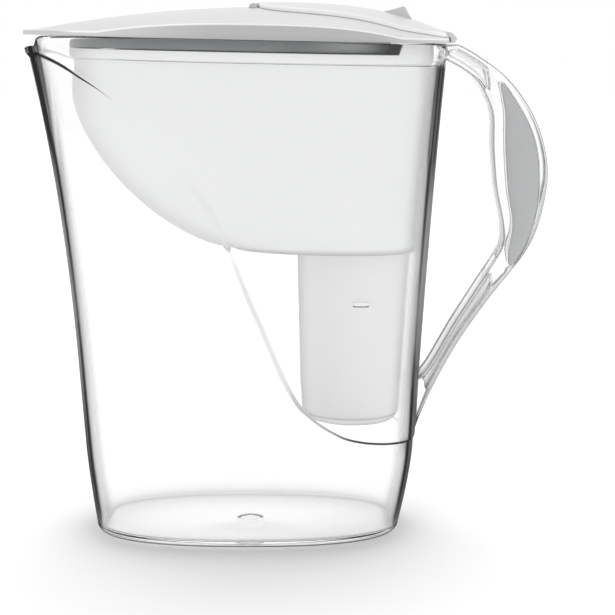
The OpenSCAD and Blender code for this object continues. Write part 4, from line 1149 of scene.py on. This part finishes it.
def flap_rings():
    """Rings from the middle of the flap's underside out to its edge and back
    over its top, with a level of painted light each: a painted highlight, up
    to 1.5 times brighter, lies on the rounded edge."""
    rows, painted_lights = [], []
    def add(s, up, inset=0.0, tone=1.0):
        x, y = plan(angle, half_l * s - inset, half_l * s - inset, FLAP_HALF * s - inset, 4, 2.2)
        x = x + flap_front + half_l
        rows.append(ring(x, y, lid_top(x, y) + up))
        painted_lights.append(np.full(COLS, tone))
    top = SEAT_GAP + FLAP_T
    for s in (0.02, 0.2, 0.4, 0.6, 0.8, 0.95, 0.97):
        add(s, SEAT_GAP)
    for inset, up in ((0.5, -0.2), (0.12, -0.1)):
        add(1.0, SEAT_GAP + up, inset, 1.5)
    for k, tone in zip(span(0, QUARTER, len(EDGE_HIGHLIGHTS)), EDGE_HIGHLIGHTS):
        add(1.0, top - 1.5 * (1 - math.sin(k)), 1.8 * (1 - math.cos(k)), tone)
    for s in (0.94, 0.9, 0.85, 0.8, 0.72, 0.64, 0.55, 0.45, 0.35, 0.25, 0.15, 0.02):
        add(s, top)
    return np.array(rows), np.concatenate(painted_lights)

def skin_z(x):
    """Height of the flap's top at x, along its middle."""
    return float(dome_at(x)) + SEAT_GAP + FLAP_T

# %% Tab, lip, barrel and pins of the flap
TAB_H, TAB_W, TAB_IN, LIP_W, LIP_LOW = 5.0, 24.0, 23.6, 14.0, 0.7
SUNK = -1.4              # the tab and the lip start inside the flap
# (x from the tab's rear face, where the flap's height is taken, height over it)
TAB = ((-11, -11, SUNK), (-10, -10, 0), (-6, -6, 1.9), (-1.5, 0, TAB_H - 0.3), (-0.3, 0, TAB_H),
    (0.5, 0, TAB_H - 0.4), (2.6, 2.6, 1.6), (4, 4, 0), (4, 4, SUNK))
tab_x = flap_back - TAB_IN
tab = bend_curve([(tab_x + x, skin_z(tab_x + at) + up) for x, at, up in TAB], 4)
back_z, lip_end, lip_in = skin_z(flap_back), lid_back + 3.8, lid_back + 0.3
lip_front = [(flap_back - 5, skin_z(flap_back - 5) + up) for up in (SUNK, 0)]
lip_over = bend_curve([(flap_back - 2, skin_z(flap_back - 2) + 0.35), (lid_back + 1, back_z + 0.5),
    (lip_end - 1.4, back_z - 0.9), (lip_end, 3.1), (lip_end - 1.2, LIP_LOW)], 4)
lip_under = [(lid_back + 1.2, LIP_LOW), (lip_in, LIP_LOW), (lip_in, 2.0), (lip_in, back_z - FLAP_T)]
lip = np.vstack([lip_front, lip_over, lip_under])

# %% The flap's piece
barrel_top = hinge_z + BARREL_R
strap = block(HINGE_X, HINGE_X + BARREL_R + STRAP, barrel_top + BARREL_SINK - FLAP_T, barrel_top)
pin_end = BARREL_L / 2 + PIN_L
rings, painted_lights = flap_rings()
low_pole, top_pole = (mid_x, 0, skin_z(mid_x) - FLAP_T), (mid_x, 0, skin_z(mid_x))
shape, painted_lights = join(skin(rings, pole_in=low_pole, pole_out=top_pole), painted_lights,
    rod_at_hinge(BARREL_R, -BARREL_L / 2, BARREL_L / 2),
    rod_at_hinge(PIN_R, -pin_end, pin_end, 0.2, 24),
    upright_plate(strap, -BARREL_L / 2, BARREL_L / 2, 0.2),
    upright_plate(tab, -TAB_W / 2, TAB_W / 2, 0.6),
    upright_plate(lip, -LIP_W / 2, LIP_W / 2, 0.6))
flap = make_piece("flap_leaf", shape, "flap", ["flap"], 30, {"tone": painted_lights})

# %% [markdown]
# ## Moulded plastic, one node group for all
# Every part is injection moulded. A shared group gives what such plastic has
# in common: a faint cloudiness in its colour, a roughness that varies a little
# from flow to flow, and a very fine orange-peel bump.

# %% More node helpers
def times(tree, colour, factor):
    """The output of a colour multiplied by a number or by another colour."""
    made = node(tree, "VectorMath")
    made.operation = "MULTIPLY"
    link(tree, colour, made.inputs[0])
    link(tree, factor, made.inputs[1])
    return made.outputs[0]

def smooth_range(tree, value, **ends):
    """The output of a smooth step on a value, between the ends given."""
    made = node(tree, "MapRange", **ends)
    made.interpolation_type = "SMOOTHSTEP"
    link(tree, value, made.inputs["Value"])
    return made.outputs["Result"]

def grey_ramp(tree, value, stops):
    """The output of a ramp on a value, through grey stops (place, level)."""
    ramp = node(tree, "ValToRGB")
    elements = ramp.color_ramp.elements
    while len(elements) < len(stops):
        elements.new(0.5)
    for element, (place, level) in zip(elements, stops):
        element.position = place
        element.color = (level, level, level, 1)
    link(tree, value, ramp.inputs["Fac"])
    return ramp.outputs["Color"]

def mark(tree, name):
    """The output of a number stored on the mesh's points."""
    made = node(tree, "Attribute")
    made.attribute_name = name
    return made.outputs["Fac"]

# %% The moulded group
def moulded_group():
    """The group: colour x (1 + cloud x (noise - 1/2)), roughness + spread x
    (noise - 1/2), and the height of a finer noise."""
    g = bpy.data.node_groups.new("moulded", "ShaderNodeTree")
    g.interface.new_socket("Colour", in_out="INPUT", socket_type="NodeSocketColor")
    for name in ("Cloud", "Rough", "Rough spread", "Grain"):
        g.interface.new_socket(name, in_out="INPUT", socket_type="NodeSocketFloat")
    g.interface.new_socket("Colour", in_out="OUTPUT", socket_type="NodeSocketColor")
    for name in ("Roughness", "Height"):
        g.interface.new_socket(name, in_out="OUTPUT", socket_type="NodeSocketFloat")
    given, result = g.nodes.new("NodeGroupInput").outputs, g.nodes.new("NodeGroupOutput").inputs
    coord = node(g, "TexCoord")
    flow = node(g, "TexNoise", Scale=14.0, Detail=3.0)
    peel = node(g, "TexNoise", Detail=2.0)
    link(g, coord.outputs["Object"], flow.inputs["Vector"])
    link(g, coord.outputs["Object"], peel.inputs["Vector"])
    link(g, given["Grain"], peel.inputs["Scale"])
    centred = math_node(g, "SUBTRACT", flow.outputs["Fac"], 0.5)
    shade = math_node(g, "ADD", math_node(g, "MULTIPLY", centred, given["Cloud"]), 1.0)
    spread = math_node(g, "MULTIPLY", centred, given["Rough spread"])
    link(g, times(g, given["Colour"], shade), result["Colour"])
    link(g, math_node(g, "ADD", given["Rough"], spread), result["Roughness"])
    link(g, peel.outputs["Fac"], result["Height"])
    return g

MOULDED = moulded_group()
print("group sockets:", [s.name for s in MOULDED.interface.items_tree])

# %% A material from the group
def plastic(name, colour, rough=0.3, cloud=0.03, spread=0.06, grain=900.0, peel=0.00002, turn=0.0, tone=False,
        **sockets):
    """A Principled material fed by the group. Plain numbers go on its own
    sockets. turn paints shade by darkening the colour where the surface turns
    away from the view, and the flag after it multiplies the colour by the
    painted light and shade stored on the mesh's points."""
    mat = bpy.data.materials.new(name)
    mat.use_nodes = True
    tree = mat.node_tree
    shader = tree.nodes["Principled BSDF"]
    group = tree.nodes.new("ShaderNodeGroup")
    group.node_tree = MOULDED
    given = {"Colour": (*colour, 1), "Cloud": cloud, "Rough": rough, "Rough spread": spread, "Grain": grain}
    for key, value in given.items():
        group.inputs[key].default_value = value
    bump = node(tree, "Bump", Distance=peel, Strength=0.5)
    colour_out = group.outputs["Colour"]
    if turn:
        weight = node(tree, "LayerWeight", Blend=0.5)
        ends = dict(From_Min=0.35, From_Max=1.0, To_Min=1.0, To_Max=1.0 - turn)
        colour_out = times(tree, colour_out, smooth_range(tree, weight.outputs["Facing"], **ends))
    if tone:
        colour_out = times(tree, colour_out, mark(tree, "tone"))
    link(tree, colour_out, shader.inputs["Base Color"])
    link(tree, group.outputs["Roughness"], shader.inputs["Roughness"])
    link(tree, group.outputs["Height"], bump.inputs["Height"])
    link(tree, bump.outputs["Normal"], shader.inputs["Normal"])
    for key, value in sockets.items():
        shader.inputs[key.replace("_", " ")].default_value = value
    return mat

# %% [markdown]
# ## Clear plastic
# The jug and the handle are styrene-clear. In an even white room clear plastic
# has no dark edges of its own, so the tint follows the four marks stored on the
# points, which paint its dark lines in as shade. A skin that the eye meets from
# inside the plastic is left out of the ends mark, or every line would be seen
# twice. Dark places are rougher, so that they mirror less of the room. A lamp's
# light passes through the wall a little dimmed, so it reaches the funnel inside.
# Low on the wall less of it passes, which paints a darker shadow round the foot,
# and through the floor more passes than arrives, a painted pool of light that
# stands in for the bright ring real light gathers under the base.

# %% Clear materials
ROUGH_DARK = 0.8         # how much rougher the darkest places are
# (how far the surface turns away, level)
TURN_STOPS = (0.0, 1.0), (0.52, 1.0), (0.64, 0.75), (0.72, 0.12), (0.84, 0.0), (1.0, 0.0)

def parts_of(mat):
    """A material's tree, with its shader and its bump node."""
    nodes = mat.node_tree.nodes
    return mat.node_tree, nodes["Principled BSDF"], nodes["Bump"]

def clear_plastic(name, tint, shade=0.88, fill=0.965):
    """Clear plastic with four marks read from the mesh. Its tint is
    tint x (1 - edge x how dark the turning ramp is) x (1 - dark)^1.5 x
    (1 - ends)^3, where the ends mark only counts on a surface met from outside
    and at a slant. Shadow rays and soft-light rays pass straight through,
    dimmed by shade and fill and by the passing mark."""
    mat = plastic(name, tint, rough=0.015, cloud=0.01, spread=0.01, grain=350.0, peel=0.00001,
        Transmission_Weight=1.0, IOR=1.49, Specular_Tint=(0.2, 0.2, 0.2, 1))
    tree, shader, _ = parts_of(mat)
    group = tree.nodes["Group"]
    def product(a, b):
        return math_node(tree, "MULTIPLY", a, b)
    def rest(a):
        return math_node(tree, "SUBTRACT", 1.0, a)
    def power(a, b):
        return math_node(tree, "POWER", a, b)
    turn = node(tree, "LayerWeight", Blend=0.5).outputs["Facing"]
    slant = smooth_range(tree, turn, From_Min=0.2, From_Max=0.4)
    outside = rest(node(tree, "NewGeometry").outputs["Backfacing"])
    ends = product(product(mark(tree, "ends"), outside), slant)
    light = product(power(rest(mark(tree, "dark")), 1.5), power(rest(ends), 3.0))
    turned = rest(product(mark(tree, "edge"), rest(grey_ramp(tree, turn, TURN_STOPS))))
    both = product(light, turned)
    matt = product(rest(both), ROUGH_DARK)
    link(tree, times(tree, group.outputs["Colour"], both), shader.inputs["Base Color"])
    link(tree, math_node(tree, "ADD", group.outputs["Roughness"], matt), shader.inputs["Roughness"])
    ray = node(tree, "LightPath")
    last = shader.outputs[0]
    for output, level in (("Is Shadow Ray", shade), ("Is Diffuse Ray", fill)):
        through = node(tree, "BsdfTransparent")
        link(tree, product(mark(tree, "passing"), level), through.inputs["Color"])
        choice = node(tree, "MixShader")
        link(tree, ray.outputs[output], choice.inputs["Fac"])
        link(tree, last, choice.inputs[1])
        link(tree, through.outputs[0], choice.inputs[2])
        last = choice.outputs[0]
    link(tree, last, tree.nodes["Material Output"].inputs["Surface"])
    return mat

look = {"jug_clear": clear_plastic("jug_clear", (0.99, 0.992, 0.992)),
    "handle_clear": clear_plastic("handle_clear", (0.96, 0.965, 0.965))}
print("clear:", ", ".join(look))

# %% [markdown]
# ## White and grey plastics
# The funnel and the housing are milky white, the lid a pale satin grey, and
# the grips a soft grey. The skirt is a dark grey, painted shade for the shadow
# under the lid. The hood over the vent is the whitest, a painted highlight for
# the light it catches. Inside the cartridge lie black and amber granules
# between two woven screens.

# %% Opaque materials
OPAQUE = {
    # turn paints shade: the funnel's and the housing's white darken by up to 35 and 40 percent where they
    # turn away from the view
    "funnel_white": dict(colour=(0.91, 0.915, 0.915), rough=0.32, cloud=0.02, turn=0.35, tone=True),
    "housing_white": dict(colour=(0.89, 0.895, 0.89), rough=0.34, cloud=0.02, turn=0.4),
    # painted highlight: the hood is whiter than the housing, for the light it catches
    "hood_white": dict(colour=(0.97, 0.97, 0.97), rough=0.34, cloud=0.01),
    "cartridge_white": dict(colour=(0.86, 0.86, 0.85), rough=0.4),
    "cap_white": dict(colour=(0.88, 0.88, 0.88), rough=0.38),
    "lid_grey": dict(colour=(0.62, 0.62, 0.62), rough=0.30, grain=1400.0, tone=True),
    "flap_grey": dict(colour=(0.64, 0.64, 0.64), rough=0.30, grain=1400.0, tone=True),
    # painted shade: the skirt's dark grey stands for the shadow under the lid
    "skirt_grey": dict(colour=(0.205, 0.21, 0.215), rough=0.36, tone=True),
    "grip_grey": dict(colour=(0.46, 0.47, 0.475), rough=0.5, grain=2200.0, peel=0.00006),
    "granules": dict(colour=(0.5, 0.5, 0.5), rough=0.7),
    "mesh": dict(colour=(0.6, 0.61, 0.62), rough=0.45),
}
for name, values in OPAQUE.items():
    look[name] = plastic(name, **values)
print("materials:", ", ".join(look))

# %% [markdown]
# ## The housing's lower edge
# Where the housing's cone rounds into its floor, painted light makes it 1.12
# times brighter, and a thin line of painted shade, at 0.76, lies over it. The
# CAD solid has no marks on its points, so the line is placed by height alone.

# %% Painted light and shade placed by height
LINE_LOW, LINE_HIGH = 58.0, 68.0      # mm
# (share of the way up, level)
LINE_STOPS = (0.0, 1.12), (0.34, 1.12), (0.46, 0.76), (0.58, 1.0), (1.0, 1.0)

def shade_by_height(mat, low, high, stops):
    """Multiplies the colour of a plastic by grey stops (share of the way from
    low to high in mm, level), read from the piece's own height."""
    tree, shader, _ = parts_of(mat)
    split = node(tree, "SeparateXYZ")
    share = node(tree, "MapRange", From_Min=low * MM, From_Max=high * MM)
    link(tree, node(tree, "TexCoord").outputs["Object"], split.inputs[0])
    link(tree, split.outputs["Z"], share.inputs["Value"])
    level = grey_ramp(tree, share.outputs["Result"], stops)
    base = shader.inputs["Base Color"]
    link(tree, times(tree, base.links[0].from_socket, level), base)

shade_by_height(look["housing_white"], LINE_LOW, LINE_HIGH, LINE_STOPS)
print("line between", LINE_LOW, "and", LINE_HIGH, "mm")

# %% Granules and screens
def two_colours(tree, value, first, second):
    """A ramp node on a value, between two colours."""
    ramp = node(tree, "ValToRGB")
    ramp.color_ramp.elements[0].color = (*first, 1)
    ramp.color_ramp.elements[1].color = (*second, 1)
    link(tree, value, ramp.inputs["Fac"])
    return ramp

def dress_granules(mat):
    """Cells of a Voronoi pattern coloured dark or amber by each cell's random
    value, domed by their distance."""
    tree, shader, bump = parts_of(mat)
    cells = node(tree, "TexVoronoi", Scale=1100.0)
    split = node(tree, "SeparateColor")
    link(tree, node(tree, "TexCoord").outputs["Object"], cells.inputs["Vector"])
    link(tree, cells.outputs["Color"], split.inputs["Color"])
    pick = two_colours(tree, split.outputs["Red"], (0.03, 0.03, 0.03), (0.42, 0.25, 0.10))
    pick.color_ramp.interpolation = "CONSTANT"
    pick.color_ramp.elements[1].position = 0.55
    link(tree, pick.outputs["Color"], shader.inputs["Base Color"])
    bump.inputs["Distance"].default_value = 0.0006
    bump.inputs["Strength"].default_value = 0.8
    bump.invert = True
    link(tree, cells.outputs["Distance"], bump.inputs["Height"])

def dress_screen(mat):
    """Two sets of waves at right angles make the threads of a fine mesh."""
    tree, shader, bump = parts_of(mat)
    coord = node(tree, "TexCoord")
    threads = []
    for axis in ("X", "Y"):
        wave = node(tree, "TexWave", Scale=320.0)
        wave.bands_direction = axis
        link(tree, coord.outputs["Object"], wave.inputs["Vector"])
        threads.append(wave.outputs["Fac"])
    high = math_node(tree, "MAXIMUM", *threads)
    ramp = two_colours(tree, high, (0.2, 0.2, 0.2), (0.72, 0.73, 0.74))
    link(tree, ramp.outputs["Color"], shader.inputs["Base Color"])
    bump.inputs["Distance"].default_value = 0.0002
    link(tree, high, bump.inputs["Height"])

dress_granules(look["granules"])
dress_screen(look["mesh"])

# %% [markdown]
# ## Giving every piece its material
# Pieces made here carry one material each. The CAD nodes that stay get theirs
# in every slot, and the hidden CAD solids keep the same finishes as the pieces
# that stand for them.

# %% Materials onto pieces and nodes
WORN = (("jug_clear", [jug], ["jug_body"]), ("handle_clear", [handle], ["handle_frame"]),
    ("grip_grey", grips, ["grip_front", "grip_back"]), ("funnel_white", [funnel], ["funnel_hopper"]),
    ("hood_white", [hood], []), ("housing_white", [], ["filter_housing"]), ("lid_grey", [lid], ["lid_shell"]),
    ("skirt_grey", [skirt], ["lid_skirt"]), ("flap_grey", [flap], ["flap"]),
    ("cartridge_white", [], ["cartridge_shell"]), ("cap_white", [], ["cartridge_cap"]),
    ("mesh", [], ["inlet_screen", "outlet_screen"]), ("granules", [], ["filter_media"]))
for name, pieces, cad_nodes in WORN:
    for obj in pieces:
        obj.data.materials.clear()
        obj.data.materials.append(look[name])
    for key in cad_nodes:
        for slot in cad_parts[key].material_slots:
            slot.material = look[name]
    print(name, "on", [obj.name for obj in pieces] + cad_nodes)
